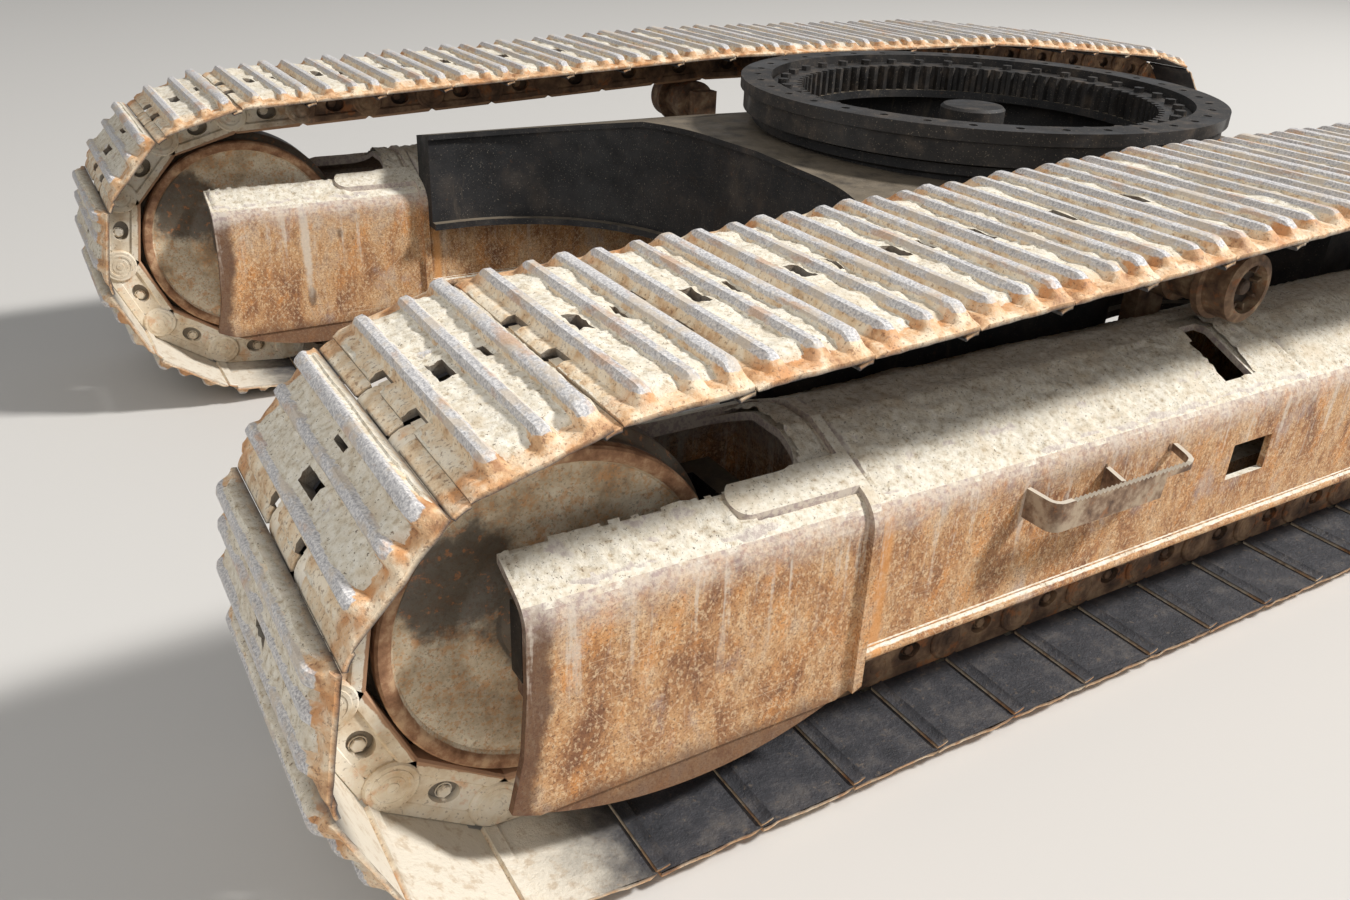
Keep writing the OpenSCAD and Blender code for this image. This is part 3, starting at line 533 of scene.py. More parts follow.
def make_plate():
    """Rusty plate of frames and guards, bleached under the bend, with mud on what faces up."""
    s = Shader("rusty_frame_steel", 0.85)
    # Darker towards the bottom: mostly painted shade, partly a real darker tone of the low strip
    low = s.step(s.ragged(s.step(s.z, *LOW_SHADE_AND_STAIN_Z), 16, 1.0, 5), 0.2, 0.9)
    base = s.cover(rusty_plate(s), low, (98, 68, 48), 0.8)
    lean = s.times(s.step(s.z, *NOSE_LEAN_Z), NOSE_LEAN)
    nose = s.step(s.ragged(s.math("ADD", s.x, lean), 22, 0.055, 6), *NOSE_RUST_X)
    base = s.cover(base, nose, (84, 56, 40), 0.85)
    for (x, z), (wide, high), colour in FAR_MARKS:
        scaled = s.vector_math("MULTIPLY", s.place, (1 / wide, 0, 1 / high)).outputs["Vector"]
        away = s.vector_math("DISTANCE", scaled, (x / wide, 0, z / high)).outputs["Value"]
        spot = s.step(s.ragged(away, 60, 0.9), 1.0, 0.4)
        base = s.cover(base, s.times(spot, s.step(s.y, *FAR_Y)), colour, 0.75)
    seam = s.times(s.band(s.x, *SEAM_X, 0.006), s.step(s.noise(16, 3), 0.36, 0.5))
    base = s.cover(base, seam, (206, 142, 78), 0.7)
    height = s.ragged(s.ragged(s.z, 9, 0.1, 6), 60, 0.1)
    pale = s.patch(LILAC, (204, 193, 178), 100, 0.42, 0.54, 0.9)
    base = s.cover(base, s.step(height, *BLEACHED_Z), pale, 0.9)
    drips = s.step(s.ragged(s.noise(34, 5, 0.7, (1, 1, 0.07)), 90, 0.25), 0.53, 0.66)
    base = s.cover(base, s.times(drips, s.band(s.z, *DRIPS_Z, 0.1)), (210, 197, 180), 0.6)
    lip = s.times(s.band(s.z, *LIP_Z, 0.003), s.facing_up(0.1, 0.6))
    base = s.mix(lip, base, (212, 208, 202))
    up = s.step(s.ragged(s.facing_up(0.36, 0.96), 26, 1.7, 6), 0.36, 0.66)
    fine = s.bump((220, 4, 0.7), 0.0009, 0.7)
    return s.done(s.mix(up, base, mud_colour(s)), Normal=s.bump((7, 3, 0.5), 0.006, 0.3, fine))


def make_dark(name="car_body_steel", dust=0.35):
    s = Shader(name)
    base = s.tones((7, 5, 0.62), (0.36, 20, 20, 21), (0.56, 33, 31, 31), (0.74, 62, 55, 49))
    base = s.patch(base, (84, 58, 40), 38, 0.62, 0.74, 0.5)
    base = s.patch(base, (150, 140, 124), 230, 0.64, 0.71, 0.6, 2)
    base = s.patch(base, (98, 86, 72), 20, 0.6, 0.76, 0.5, 4, (1, 1, 0.2))
    up = s.step(s.ragged(s.facing_up(0.55, 0.98), 11, 1.5, 5), 0.45, 1.15)
    colour = s.cover(base, up, (176, 158, 132), dust)
    rough = s.ramp(s.noise(12, 3, 0.6), (0.35, 0.5), (0.7, 0.85))
    return s.done(colour, Roughness=rough, Normal=s.bump((140, 4, 0.7), 0.0009, 0.6))


def make_idler():
    """Dusty disc with a dark grease patch and a brown rim. Marks: green is the rim, blue is grease."""
    s = Shader("idler_steel")
    base = s.tones((11, 5, 0.66), (0.34, 160, 134, 104), (0.48, 206, 186, 156), (0.64, 232, 218, 192))
    base = s.patch(base, (204, 142, 84), 30, 0.53, 0.66, 0.6, 5)
    base = s.patch(base, (200, 148, 98), 130, 0.5, 0.62, 0.6)
    base = s.patch(base, (120, 100, 80), 200, 0.55, 0.66, 0.5, 3)
    _, worn, grease = s.marks()
    oily = s.step(s.ragged(grease, 10, 1.0, 5), 0.36, 0.62)
    wet = s.patch((66, 58, 50), (168, 104, 56), 60, 0.57, 0.66, 0.8)
    base = s.cover(base, oily, wet, 0.85)
    rim = s.tones((26, 5, 0.66), (0.36, 122, 84, 58), (0.5, 158, 116, 84), (0.64, 196, 160, 124))
    base = s.mix(s.step(s.ragged(worn, 40, 0.5), 0.4, 0.6), base, rim)
    rough = s.ramp(oily, (0.0, 0.88), (1.0, 0.5))
    return s.done(base, Roughness=rough, Normal=s.bump((130, 4, 0.7), 0.0012, 0.6))


def make_roller():
    """Marks: green is the worn tread, blue is painted shade in the recess of a cap."""
    s = Shader("roller_steel")
    _, worn, inside = s.marks()
    base = s.tones((24, 5, 0.62), (0.34, 80, 60, 46), (0.52, 126, 98, 74), (0.7, 170, 146, 116))
    base = s.patch(base, (150, 92, 52), 40, 0.55, 0.68, 0.6)
    base = s.mix(s.step(s.ragged(worn, 60, 0.6), 0.45, 0.65), base, (146, 138, 134))
    # Painted shade in the recess of a cap
    base = s.cover(base, inside, (34, 30, 28), 0.85)
    rough = s.ramp(worn, (0.0, 0.8), (1.0, 0.4))
    metal = s.ramp(worn, (0.3, 0.0), (1.0, 0.5))
    return s.done(base, Roughness=rough, Metallic=metal, Normal=s.bump((130, 3, 0.7), 0.001, 0.5))


def make_ring():
    s = Shader("slewing_ring_steel")
    base = s.tones((16, 5, 0.62), (0.36, 23, 21, 20), (0.55, 44, 39, 35), (0.74, 82, 70, 58))
    grease = s.step(s.noise(5, 3, 0.55), 0.46, 0.62)
    base = s.cover(base, grease, (26, 23, 21), 0.5)
    base = s.patch(base, (150, 136, 116), 210, 0.63, 0.7, 0.5, 2)
    rough = s.ramp(grease, (0.0, 0.7), (1.0, 0.38))
    return s.done(base, Roughness=rough, Normal=s.bump((120, 3, 0.7), 0.0009, 0.5))


mud_mat = make_mud()
shoe_mat = make_shoe()
chain_mat = make_chain()
step_mat = make_step()
plate_mat = make_plate()
dark_mat = make_dark()
drive_mat = make_dark("drive_housing_steel", 0.8)
idler_mat = make_idler()
roller_mat = make_roller()
ring_mat = make_ring()


# Track loop, worked out as in the frame: a belt round idler, carriers, sprocket and ground
def belt_pins():
    tooth = math.radians(360 / SPROCKET_TEETH)
    wheels = [
        (IDLER_X, IDLER_Z, IDLER_PIN_R),
        *((x, CARRIER_Z, CARRIER_R + PIN_DROP + CARRIER_LIFT) for x in CARRIER_X),
        (SPROCKET_X, SPROCKET_Z, PITCH / 2 / math.sin(tooth)),
        (TRACK_BEND_X, ROLLER_Z, ROLLER_R + PIN_DROP),
    ]
    leave = []
    for a, b in zip(wheels, wheels[1:] + wheels[:1]):
        dx, dz = b[0] - a[0], b[1] - a[1]
        leave.append(math.atan2(dz, dx) - math.acos((a[2] - b[2]) / math.hypot(dx, dz)))
    spans = []
    for i, (x, z, r) in enumerate(wheels):
        arrive = leave[i - 1]
        wrap = (leave[i] - arrive) % (2 * math.pi)
        chord_r = PITCH / 2 / math.asin(min(1, PITCH / 2 / r))
        spans.append(("arc", wrap * chord_r, (x, z, r, arrive, chord_r)))
        b = wheels[(i + 1) % len(wheels)]
        p = (x + r * math.cos(leave[i]), z + r * math.sin(leave[i]))
        q = (b[0] + b[2] * math.cos(leave[i]), b[1] + b[2] * math.sin(leave[i]))
        spans.append(("run", math.dist(p, q), (p, q)))
    total = sum(s[1] for s in spans)
    count = round(total / PITCH)
    pitch = total / count
    start = sum(s[1] for s in spans[:6]) + PHASE
    found = []
    for k in range(count):
        s = (start + (k + 0.5) * pitch) % total
        for kind, length, data in spans:
            if s < length:
                break
            s -= length
        if kind == "arc":
            x, z, r, arrive, chord_r = data
            a = arrive + s / chord_r
            found.append((x + r * math.cos(a), z + r * math.sin(a)))
        else:
            p, q = data
            t = s / length
            found.append([a + (b - a) * t for a, b in zip(p, q)])
    return np.array(found), pitch


pins, pitch = belt_pins()
half = pitch / 2
link_mid = (pins + np.roll(pins, -1, 0)) / 2
link_dir = unit(np.roll(pins, -1, 0) - pins)
link_out = np.c_[link_dir[:, 1], -link_dir[:, 0]]


def on_link(k, local):
    """Points (along the link, across the track, outwards from the pins) of link k, in the row frame.
    The three directions are left-handed, so faces made in them are flipped."""
    xz = link_mid[k] + local[:, :1] * link_dir[k] + local[:, 2:] * link_out[k]
    return np.c_[xz[:, 0], local[:, 1] + TRACK_Y, xz[:, 1]]


# Shoe: a height field over (along, across), with the mud that lies between its grousers.
# Each grouser is (middle, half width of the foot, half width of the worn top, height).
GROUSERS = ((0.048, 0.019, 0.0055, 0.024), (0.124, 0.019, 0.0055, 0.024), (0.1835, 0.019, 0.0085, 0.028))
SHOE_HOLES = ((0.072, 0.099, 0.032), (0.15, 0.16, 0.024))
NOTCH_DEEP, NOTCH_Y0, NOTCH_Y1 = 0.026, 0.047, 0.097
LIP_R, LIP_T, LIP_TURN = 0.0497, 0.008, 0.55
LIP_INSET = 0.006
MUD_LEVEL, MUD_BEHIND, MUD_MOST = 0.008, 0.009, 0.0175
WEAR, EDGE_WEAR = 0.0012, 0.0035
FINE_GAPS, COARSE_GAPS = (6.5, 7.5), (14, 22)

# Places that the mesh of a shoe keeps to, in millimetres, as are the gaps
FLANK = (-19, -15, -11, -6, 0, 6, 11, 15, 19)
LAST_FLANK = (-19, -15, -10.5, -5.5, 0, 5.5, 10.5, 15, 19)
KEY_U = [2.5, 14, 26, *(48 + d for d in FLANK), 72, 99, *(124 + d for d in FLANK), 150, 160,
         *(183.5 + d for d in LAST_FLANK)]
KEY_Y = [0, 24, 32, 47, 97, 250, 262, 274, 286, 296, 300]
UNDER_U = [2.5, 26, 72, 99, 150, 160, 202.5]
UNDER_Y = [0, 24, 42, 47, 97, 180, 296]


def stations(keys, gap):
    """The key places in metres, with more between them where they lie further apart than gap."""
    out = [keys[0] / 1000]
    for a, b in zip(keys, keys[1:]):
        n = max(1, round((b - a) / gap))
        out += [(a + (b - a) * i / n) / 1000 for i in range(1, n + 1)]
    return np.array(out)


def both_ways(half_stations):
    return np.concatenate([-half_stations[:0:-1], half_stations])


def open_in_shoe(u, y):
    hole = any(a < u < b and abs(y) < w for a, b, w in SHOE_HOLES)
    return hole or (u < NOTCH_DEEP and NOTCH_Y0 < abs(y) < NOTCH_Y1)


def metal_cells(us, ys):
    """The cells of a grid that aren't open, row by row."""
    return [(i, j) for i in range(len(us) - 1) for j in range(len(ys) - 1)
            if not open_in_shoe((us[i] + us[i + 1]) / 2, (ys[j] + ys[j + 1]) / 2)]


def corners(i, j, cols):
    at = i * cols + j
    return at, at + cols, at + cols + 1, at + 1


def shoe_metal(u, y):
    top = np.full(len(u), PLATE_T)
    for centre, foot, worn, high in GROUSERS:
        slope = smooth(foot, worn, np.abs(u - centre))
        end = smooth(SHOE_W / 2 - 0.003, SHOE_W / 2 - 0.045, np.abs(y))
        top = np.maximum(top, PLATE_T + high * slope ** 0.75 * end)
    top -= 0.006 * smooth(0.014, 0.003, u)
    return top - 0.004 * smooth(SHOE_W / 2 - 0.008, SHOE_W / 2, np.abs(y))


def nearness_behind(u):
    """1 right behind a grouser, falling to 0 at the next one: mud packs up there."""
    middles = [grouser[0] for grouser in GROUSERS]
    ridges = np.array([middles[-1] - PITCH] + middles + [middles[0] + PITCH])
    i = np.searchsorted(ridges, u) - 1
    return 1 - (u - ridges[i]) / (ridges[i + 1] - ridges[i])


def add_lip(parts, k):
    """The leading edge, rolled round the pin so that it slides under the next shoe."""
    turn = np.linspace(-0.05, LIP_TURN, 7)
    arc = [(-LIP_R * math.sin(a), LIP_R * math.cos(a)) for a in turn]
    arc += [(-(LIP_R - LIP_T) * math.sin(a), (LIP_R - LIP_T) * math.cos(a)) for a in turn[::-1]]
    end = SHOE_W / 2 - LIP_INSET
    for y0, y1 in ((-end, -NOTCH_Y1), (-NOTCH_Y0, NOTCH_Y0), (NOTCH_Y1, end)):
        points, faces = extruded(arc, y0, y1, 0.0015)
        # The inside of the roll gets the blue mark: painted shade
        inner = (np.hypot(points[:, 0], points[:, 2]) < LIP_R - 0.002) | (points[:, 0] < -0.022)
        parts.add(on_link(k, points - (half, 0, 0)), flipped(faces), np.outer(inner, SHADE_AND_GREASE))


def add_shoe(parts, k, seed, fine):
    gap_u, gap_y = FINE_GAPS if fine else COARSE_GAPS
    us, ys = stations(KEY_U, gap_u), both_ways(stations(KEY_Y, gap_y))
    u, y = np.meshgrid(us, ys, indexing="ij")
    rows, cols = u.shape
    u, y = u.ravel(), y.ravel()
    metal = shoe_metal(u, y)
    where = np.c_[u + k * 0.37, y, np.full(len(u), seed * 3.1)]
    level = fractal(where * 16, 3, seed) * 0.01 + fractal(where * 95, 3, seed + 9) * 0.0045
    fill = PLATE_T + MUD_LEVEL + level + MUD_BEHIND * nearness_behind(u)
    fill -= 0.024 * smooth(SHOE_W / 2 - 0.07, SHOE_W / 2 - 0.01, np.abs(y))
    fill -= 0.02 * smooth(0.042, 0.022, u)
    fill = np.minimum(fill, PLATE_T + MUD_MOST)
    wear = smooth(0, 1, (metal - PLATE_T - 0.012) / 0.007)
    rough = fractal(where * 60, 3, seed + 20)
    metal = metal + rough * WEAR * (1 - 0.5 * wear) - WEAR * wear
    top = np.minimum(np.maximum(metal, fill), PLATE_T + GROUSER_H)
    marks = np.c_[smooth(-0.003, 0.003, fill - metal), wear, np.zeros(len(u))]
    edge = smooth(SHOE_W / 2 - 0.02, SHOE_W / 2, np.abs(y))
    y = y - np.sign(y) * edge * EDGE_WEAR * (1 + fractal(where * (30, 0.2, 1), 2, seed + 30))

    upper = np.c_[u - half, y, PIN_H + top]
    cells = metal_cells(us, ys)
    solid = set(cells)
    faces, rim, under = [], {}, []
    for i, j in cells:
        a, b, c, d = corners(i, j, cols)
        faces.append((a, d, c, b))
        beside = (i, j - 1), (i, j + 1), (i + 1, j), (i - 1, j)
        for (p, q), side in zip(((a, b), (c, d), (b, c), (d, a)), beside):
            if side not in solid:
                inside = 0 <= side[0] < rows - 1 and 0 <= side[1] < cols - 1
                for v in (p, q):
                    if (v, inside) not in rim:
                        rim[v, inside] = len(u) + 2 * len(under)
                        under.append(v)
                a, b = rim[p, inside], rim[q, inside]
                faces.append((a, b, b + 1, a + 1))
    # Walls darken to painted shade at the bottom; the walls of holes and notches are painted shade up to the
    # top
    walls = np.repeat(upper[under], 2, axis=0)
    walls[1::2, 2] = PIN_H
    wall_marks = np.repeat(marks[under], 2, axis=0)
    wall_marks[1::2] = 0.9 * SHADE_AND_GREASE
    for (v, inside), at in rim.items():
        if inside:
            wall_marks[at - len(u)] = 0.7 * SHADE_AND_GREASE
    parts.add(on_link(k, np.concatenate([upper, walls])), faces, np.concatenate([marks, wall_marks]))
    add_lip(parts, k)

    cut_u = np.array(UNDER_U) / 1000
    cut_y = both_ways(np.array(UNDER_Y) / 1000)
    uu, yy = np.meshgrid(cut_u, cut_y, indexing="ij")
    below = [corners(i, j, len(cut_y)) for i, j in metal_cells(cut_u, cut_y)]
    # The underside gets the blue mark: painted shade
    parts.add(on_link(k, np.c_[uu.ravel() - half, yy.ravel(), np.full(uu.size, PIN_H)]), below, SHADE_AND_GREASE)


BOLT = hex_bolt(0.013, 0.01, 1.15)
BOLT_U, BOLT_Y = (0.086, 0.15), 0.0725
BOLT_MARKS = (0.42, 0.5, 0)


def add_shoe_bolts(parts, k):
    for u in BOLT_U:
        for y in (-BOLT_Y, BOLT_Y):
            parts.add(on_link(k, BOLT[0] + (u - half, y, PIN_H + PLATE_T)), flipped(BOLT[1]), BOLT_MARKS)


# One link of a strand: rail and seat bars, a boss at each pin, and a web with an oval recess for a nut
RECESS_U, RECESS_R, BOSS_R = 0.104, (0.029, 0.021), 0.0465


def link_shape(side):
    parts = Parts()
    inner, split, outer = 0.047, 0.0705, 0.0965

    def bar(outline, y0, y1, chamfer=0.0025):
        low, high = sorted((side * y0, side * y1))
        parts.add(*extruded(outline, low, high, chamfer))

    def boss(u, y0, y1):
        around = np.linspace(0, 2 * math.pi, 22, endpoint=False)
        bar([(u + BOSS_R * math.cos(a), BOSS_R * math.sin(a)) for a in around], y0, y1, 0.004)

    def even(*points):
        """The outline from its half on the right, bottom first."""
        return [(-x, z) for x, z in points[:1]] + list(points) + [(-x, z) for x, z in points[:0:-1]]

    rail = even((half - 0.012, -PIN_DROP), (half + 0.004, -PIN_DROP + 0.01), (half - 0.002, -0.034),
                (half - 0.02, -0.027))
    bar(rail, inner + 0.003, outer - 0.003, 0.004)
    seat = even((half - 0.016, 0.024), (half - 0.01, PIN_H - 0.0004))
    bar(seat, inner + 0.006, outer - 0.006)
    boss(-half, inner, split)
    boss(half, split + 0.001, outer)
    low, high = sorted((side * (inner + 0.012), side * (outer - 0.008)))
    web_x, web_z = (-half + 0.03, half - 0.03), (-0.03, 0.026)
    parts.add(*holed((RECESS_U - half, -0.003), RECESS_R, web_x, web_z, low, high))
    floor = outer - 0.024
    bar([(-0.035, -0.028), (0.04, -0.028), (0.04, 0.024), (-0.035, 0.024)], inner + 0.014, floor)
    nut_at = (RECESS_U - half - 0.007, side * floor, 0.002)
    parts.add(*moved(hex_bolt(0.0125, 0.009, 1.2), nut_at, -side * math.pi / 2))
    ridge = [(0.027, -0.001), (0.0285, 0.0012), (0.034, 0.0012), (0.0355, -0.001)]
    ring = lathe([(r, outer + h) for r, h in ridge], 24)
    for cu in (-half, half):
        face_y = (split if cu < 0 else outer) - outer
        points = (ring[0] + (cu, face_y, 0)) * (1, side, 1)
        parts.add(points, ring[1] if side > 0 else flipped(ring[1]))
    for u in BOLT_U:
        points, faces = hex_bolt(0.0135, 0.011, 1.15)
        parts.add(points * (1, 1, -1) + (u - half, side * BOLT_Y, 0.024), flipped(faces))
    return np.concatenate(parts.points), flipped(parts.faces)


def add_chain(parts):
    """The rail of a link is worn; its recess, and pin and bush between the strands, are painted in shade."""
    end = [(0.0235, 0.095), (0.021, 0.0972), (0.011, 0.0972), (0.01, 0.0985), (0.0, 0.099)]
    pin = lathe([(r, -y) for r, y in end[::-1]] + end, 20)
    bush = lathe([(0.031, -0.0475), (0.031, 0.0475)], 20)
    pieces = []
    for points, faces in map(link_shape, (-1, 1)):
        worn = points[:, 2] < -PIN_DROP + 0.005
        # The recess of each link gets the blue mark: painted shade
        recess = (np.abs(points[:, 1]) < 0.074) & (np.abs(points[:, 2]) < 0.0285)
        pieces.append((points, faces, np.c_[np.zeros(len(points)), worn, 0.75 * recess]))
    for points, faces in (pin, bush):
        # Pin and bush between the strands get the blue mark too: painted shade
        between = np.abs(points[:, 1]) < 0.09
        pieces.append((points - (half, 0, 0), flipped(faces), np.outer(between, SHADE_AND_GREASE)))
    for k in range(len(pins)):
        for points, faces, marks in pieces:
            parts.add(on_link(k, points), faces, marks)


# Shoes past these places are near the camera. On the left side they get a finer mesh
NEAR_X, NEAR_Z = 0.9, 0.3
near_camera = np.all(link_mid > (NEAR_X, NEAR_Z), axis=1)
for side, sign in SIDES:
    seed = 11 if sign > 0 else 57
    for group, near in (("near", True), ("rest", False)):
        shoes = Parts()
        for k in np.flatnonzero(near_camera == near):
            add_shoe(shoes, k, seed, near and sign > 0)
            add_shoe_bolts(shoes, k)
        shoes.piece(f"track_shoes_{side}_{group}", "shoe_steel", shoe_mat, sign, (f"shoes_{side}",))
    chain = Parts()
    add_chain(chain)
    chain.piece(f"track_links_{side}", "chain_steel", chain_mat, sign, (f"chain_{side}",))


# Cross-section of frames and guards, from one side wall over the roof to the other: places and normals
def roof_section(wall, gap):
    cy, r = FRAME_W / 2 - FRAME_BEND_R, FRAME_BEND_R
    turn = math.pi / 2 - ROOF_SLOPE
    side = [((FRAME_W / 2, FRAME_SIDE_Z - d), 0.0) for d in np.arange(wall, 0, -gap)]
    count = max(4, int(r * turn / gap))
    side += [((cy + r * math.cos(a), FRAME_SIDE_Z + r * math.sin(a)), a) for a in np.linspace(0, turn, count)]
    (top_y, top_z), _ = side[-1]
    length = (top_y - RIDGE_HALF) / math.cos(ROOF_SLOPE)
    steps = int(length / gap)
    side += [((top_y - d * math.cos(ROOF_SLOPE), top_z + d * math.sin(ROOF_SLOPE)), turn)
             for d in np.linspace(length / steps, length, steps)]
    ridge_z = side[-1][0][1]
    ridge = np.linspace(RIDGE_HALF, -RIDGE_HALF, int(2 * RIDGE_HALF / gap) + 1)
    flat = [((y, ridge_z), math.pi / 2) for y in ridge[1:-1]]
    whole = side + flat + [((-y, z), math.pi - a) for (y, z), a in side[::-1]]
    return map(np.array, zip(*whole))


# Mud in front of this place has a finer mesh. Where it is sunk below the plate, it has broken off
FINE_MUD_X = 0.2
MUD_SUNK, MUD_THICK = -0.0012, 0.018


def add_roof_mud(parts, x0, x1, gap, seed):
    """A sheet of dried mud, thick on the roof and broken off towards the bends."""
    places, angles = roof_section(0.06, gap)
    xs = np.linspace(x0, x1, int((x1 - x0) / gap))
    rows, cols = len(xs), len(places)
    x = np.repeat(xs, cols)
    y, z = np.tile(places[:, 0], rows), np.tile(places[:, 1], rows)
    ny, nz = np.tile(np.cos(angles), rows), np.tile(np.sin(angles), rows)
    where = np.c_[x, y, z]
    lumps = 1 - np.abs(fractal(where * 40, 2, seed)) * 2.2
    thick = -0.008 + 0.008 * smooth(0.55, 0.91, nz) + 0.008 * smooth(0.185, 0.1, np.abs(y))
    thick += 0.0045 * lumps * smooth(0.8, 0.92, nz)
    thick += 0.009 * fractal(where * 9, 3, seed + 4) + 0.0035 * fractal(where * 120, 2, seed + 8)
    thick = np.clip(thick, MUD_SUNK, MUD_THICK)
    edge = smooth(x0, x0 + 0.02, x) * smooth(x1, x1 - 0.012, x)
    thick = np.minimum(thick, 0.016 * edge - 0.001)
    points = np.c_[x, y + TRACK_Y + ny * thick, z + nz * thick]
    jitter = 0.006 * fractal(where * 60, 2, seed + 12)

    def hole(i, j):
        at = i * cols + j
        px, py, d = x[at] + gap / 2, y[at], jitter[at]
        slot = (any(c - 0.004 < px - d < c + SLOT_LONG + 0.014 for c in CARRIER_X)
                and SLOT_Y0 - 0.009 < py - d < SLOT_Y1 + 0.008)
        post = any(abs(px - c) < 0.05 for c in CARRIER_X) and -0.165 < py < -0.105
        nose = px > NOSE_X - 0.004 + d and abs(py) < NOSE_HALF + 0.006 + d
        if px < NOSE_X + NOSE_R:
            beyond = math.hypot(NOSE_X + NOSE_R - px, max(0, abs(py) - NOSE_HALF + NOSE_R))
            nose = nose and beyond < NOSE_R + 0.006 + d
        pad = GUARD_X0 + 0.02 < px < GUARD_X0 + 0.225 and 0.118 < abs(py) < 0.187
        low = max(thick[at], thick[at + cols + 1]) < -0.001
        return slot or post or nose or pad or low

    faces = [(i * cols + j, i * cols + j + 1, (i + 1) * cols + j + 1, (i + 1) * cols + j)
             for i in range(rows - 1) for j in range(cols - 1) if not hole(i, j)]
    used = sorted({v for face in faces for v in face})
    index = {v: i for i, v in enumerate(used)}
    parts.add(points[used], [tuple(index[v] for v in face) for face in faces], (1, 0, 0))


for (side, sign), frame_seed, guard_seed in zip(SIDES, (3, 23), (5, 29)):
    mud = Parts()
    add_roof_mud(mud, FINE_MUD_X, GUARD_X0 - 0.004, 0.008, frame_seed)
    add_roof_mud(mud, FRAME_X0 + 0.01, FINE_MUD_X, 0.014, frame_seed)
    mud.piece(f"mud_frame_{side}", "rusty_frame_steel", mud_mat, sign, sharp=60)
    mud = Parts()
    add_roof_mud(mud, GUARD_X0 + 0.022, GUARD_X1 - 0.035, 0.0065, guard_seed)
    mud.piece(f"mud_guard_{side}", "rusty_frame_steel", mud_mat, sign, sharp=60)


# Weld beads where plates meet: round the section at the guard, and along the foot of both walls
places, angles = roof_section(FRAME_SIDE_Z - 0.3, 0.02)
round_y, round_z = (places + 0.002 * np.c_[np.cos(angles), np.sin(angles)]).T
round_frame = np.c_[np.full(len(places), GUARD_X0 - 0.001), round_y + TRACK_Y, round_z]
for side, sign in SIDES:
    welds = Parts()
    welds.add(*bead(round_frame, 0.0045, 1))
    for s in (1, -1):
        y = TRACK_Y + s * (FRAME_W / 2 + 0.0005)
        seam = [(x, y, FRAME_BOTTOM + 0.027) for x in (FRAME_X0 + 0.01, GUARD_X0 - 0.002)]
        welds.add(*bead(seam, 0.0035, 2))
    welds.piece(f"frame_welds_{side}", "rusty_frame_steel", plate_mat, sign, sharp=80)


# Step: a flat bar bent to the frame at both ends, its top edge cut into teeth, with a brace
STEP_T, STEP_BEND, STEP_STRIP_H = 0.01, 0.014, 0.016
STEP_LOW_X0, STEP_BRACE_X = 0.77, 0.868
STEP_BOLTS = ((0.9, 0.489), (0.812, 0.489))


def add_bar(parts, line, z0, z1):
    """A flat bar on edge: the line is its outer face in plan, z0 and z1 its edges along the line."""
    line = np.asarray(line, dtype=float)
    run = unit(np.gradient(line, axis=0))
    inner = line + np.c_[-run[:, 1], run[:, 0]] * STEP_T
    n = len(line)
    edges = (line, z0), (line, z1), (inner, z1), (inner, z0)
    points = np.stack([np.c_[edge, np.broadcast_to(z, n)] for edge, z in edges], axis=1).reshape(-1, 3)
    ends = [(3, 2, 1, 0), tuple(4 * (n - 1) + i for i in range(4))]
    parts.add(points, tube_faces(n, 4) + ends)


def build_step(side, sign):
    low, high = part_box(f"step_{side}")
    x0, x1 = low[0], high[0]
    y0, y1 = TRACK_Y + FRAME_W / 2, max(abs(low[1]), abs(high[1]))
    z0, z1 = low[2], high[2]
    parts = Parts()
    line = [(x0, y0), (x0 + 0.02, y1 - 0.017), (x0 + 0.028, y1 - 0.006), (x0 + 0.04, y1)]
    line += [(x, y1) for x in np.arange(x0 + 0.046, x1 - STEP_BEND - 0.002, 0.006)]
    line += [(x1 - STEP_BEND * (1 - math.sin(a)), y1 - STEP_BEND * (1 - math.cos(a)))
             for a in (0, 0.4, 0.8, 1.2, math.pi / 2)]
    line = np.array(line + [(x1, y0)])
    n = len(line)
    along = (line[:, 1] > y1 - 1e-6) & (line[:, 0] < x1 - 0.03)
    top = z1 - 0.005 * (along & (np.arange(n) % 2 == 0))
    bottom = np.where(line[:, 0] < STEP_LOW_X0, z1 - STEP_STRIP_H, z0)
    add_bar(parts, line, bottom, top)
    brace = [(STEP_BRACE_X - 0.01, y0), (STEP_BRACE_X + 0.009, y1 - STEP_T + 0.001)]
    add_bar(parts, brace, z0 + 0.002, z1 - 0.006)
    for x, z in STEP_BOLTS:
        parts.add(*moved(hex_bolt(0.0075, 0.006, 1.3), (x, y1, z), -math.pi / 2))
    for x in (x1 - 0.001, x0 + 0.01, STEP_BRACE_X - 0.012):
        foot = z0 if x > STEP_LOW_X0 else z1 - STEP_STRIP_H
        parts.add(*bead([(x, y0 + 0.001, foot), (x, y0 + 0.001, z1)], 0.0035, 6))
    parts.piece(f"step_bar_{side}", "rusty_frame_steel", step_mat, sign, (f"step_{side}",), sharp=30)


for side, sign in SIDES:
    build_step(side, sign)


# Idler: disc with a turned rim, a raised hub, a bolted cover on each side and a patch of oil
COVER_H, COVER_BOLTS_R = 0.005, 0.07
OIL_X, OIL_Z, OIL_SPREAD = 2.1, 0.56, 0.014


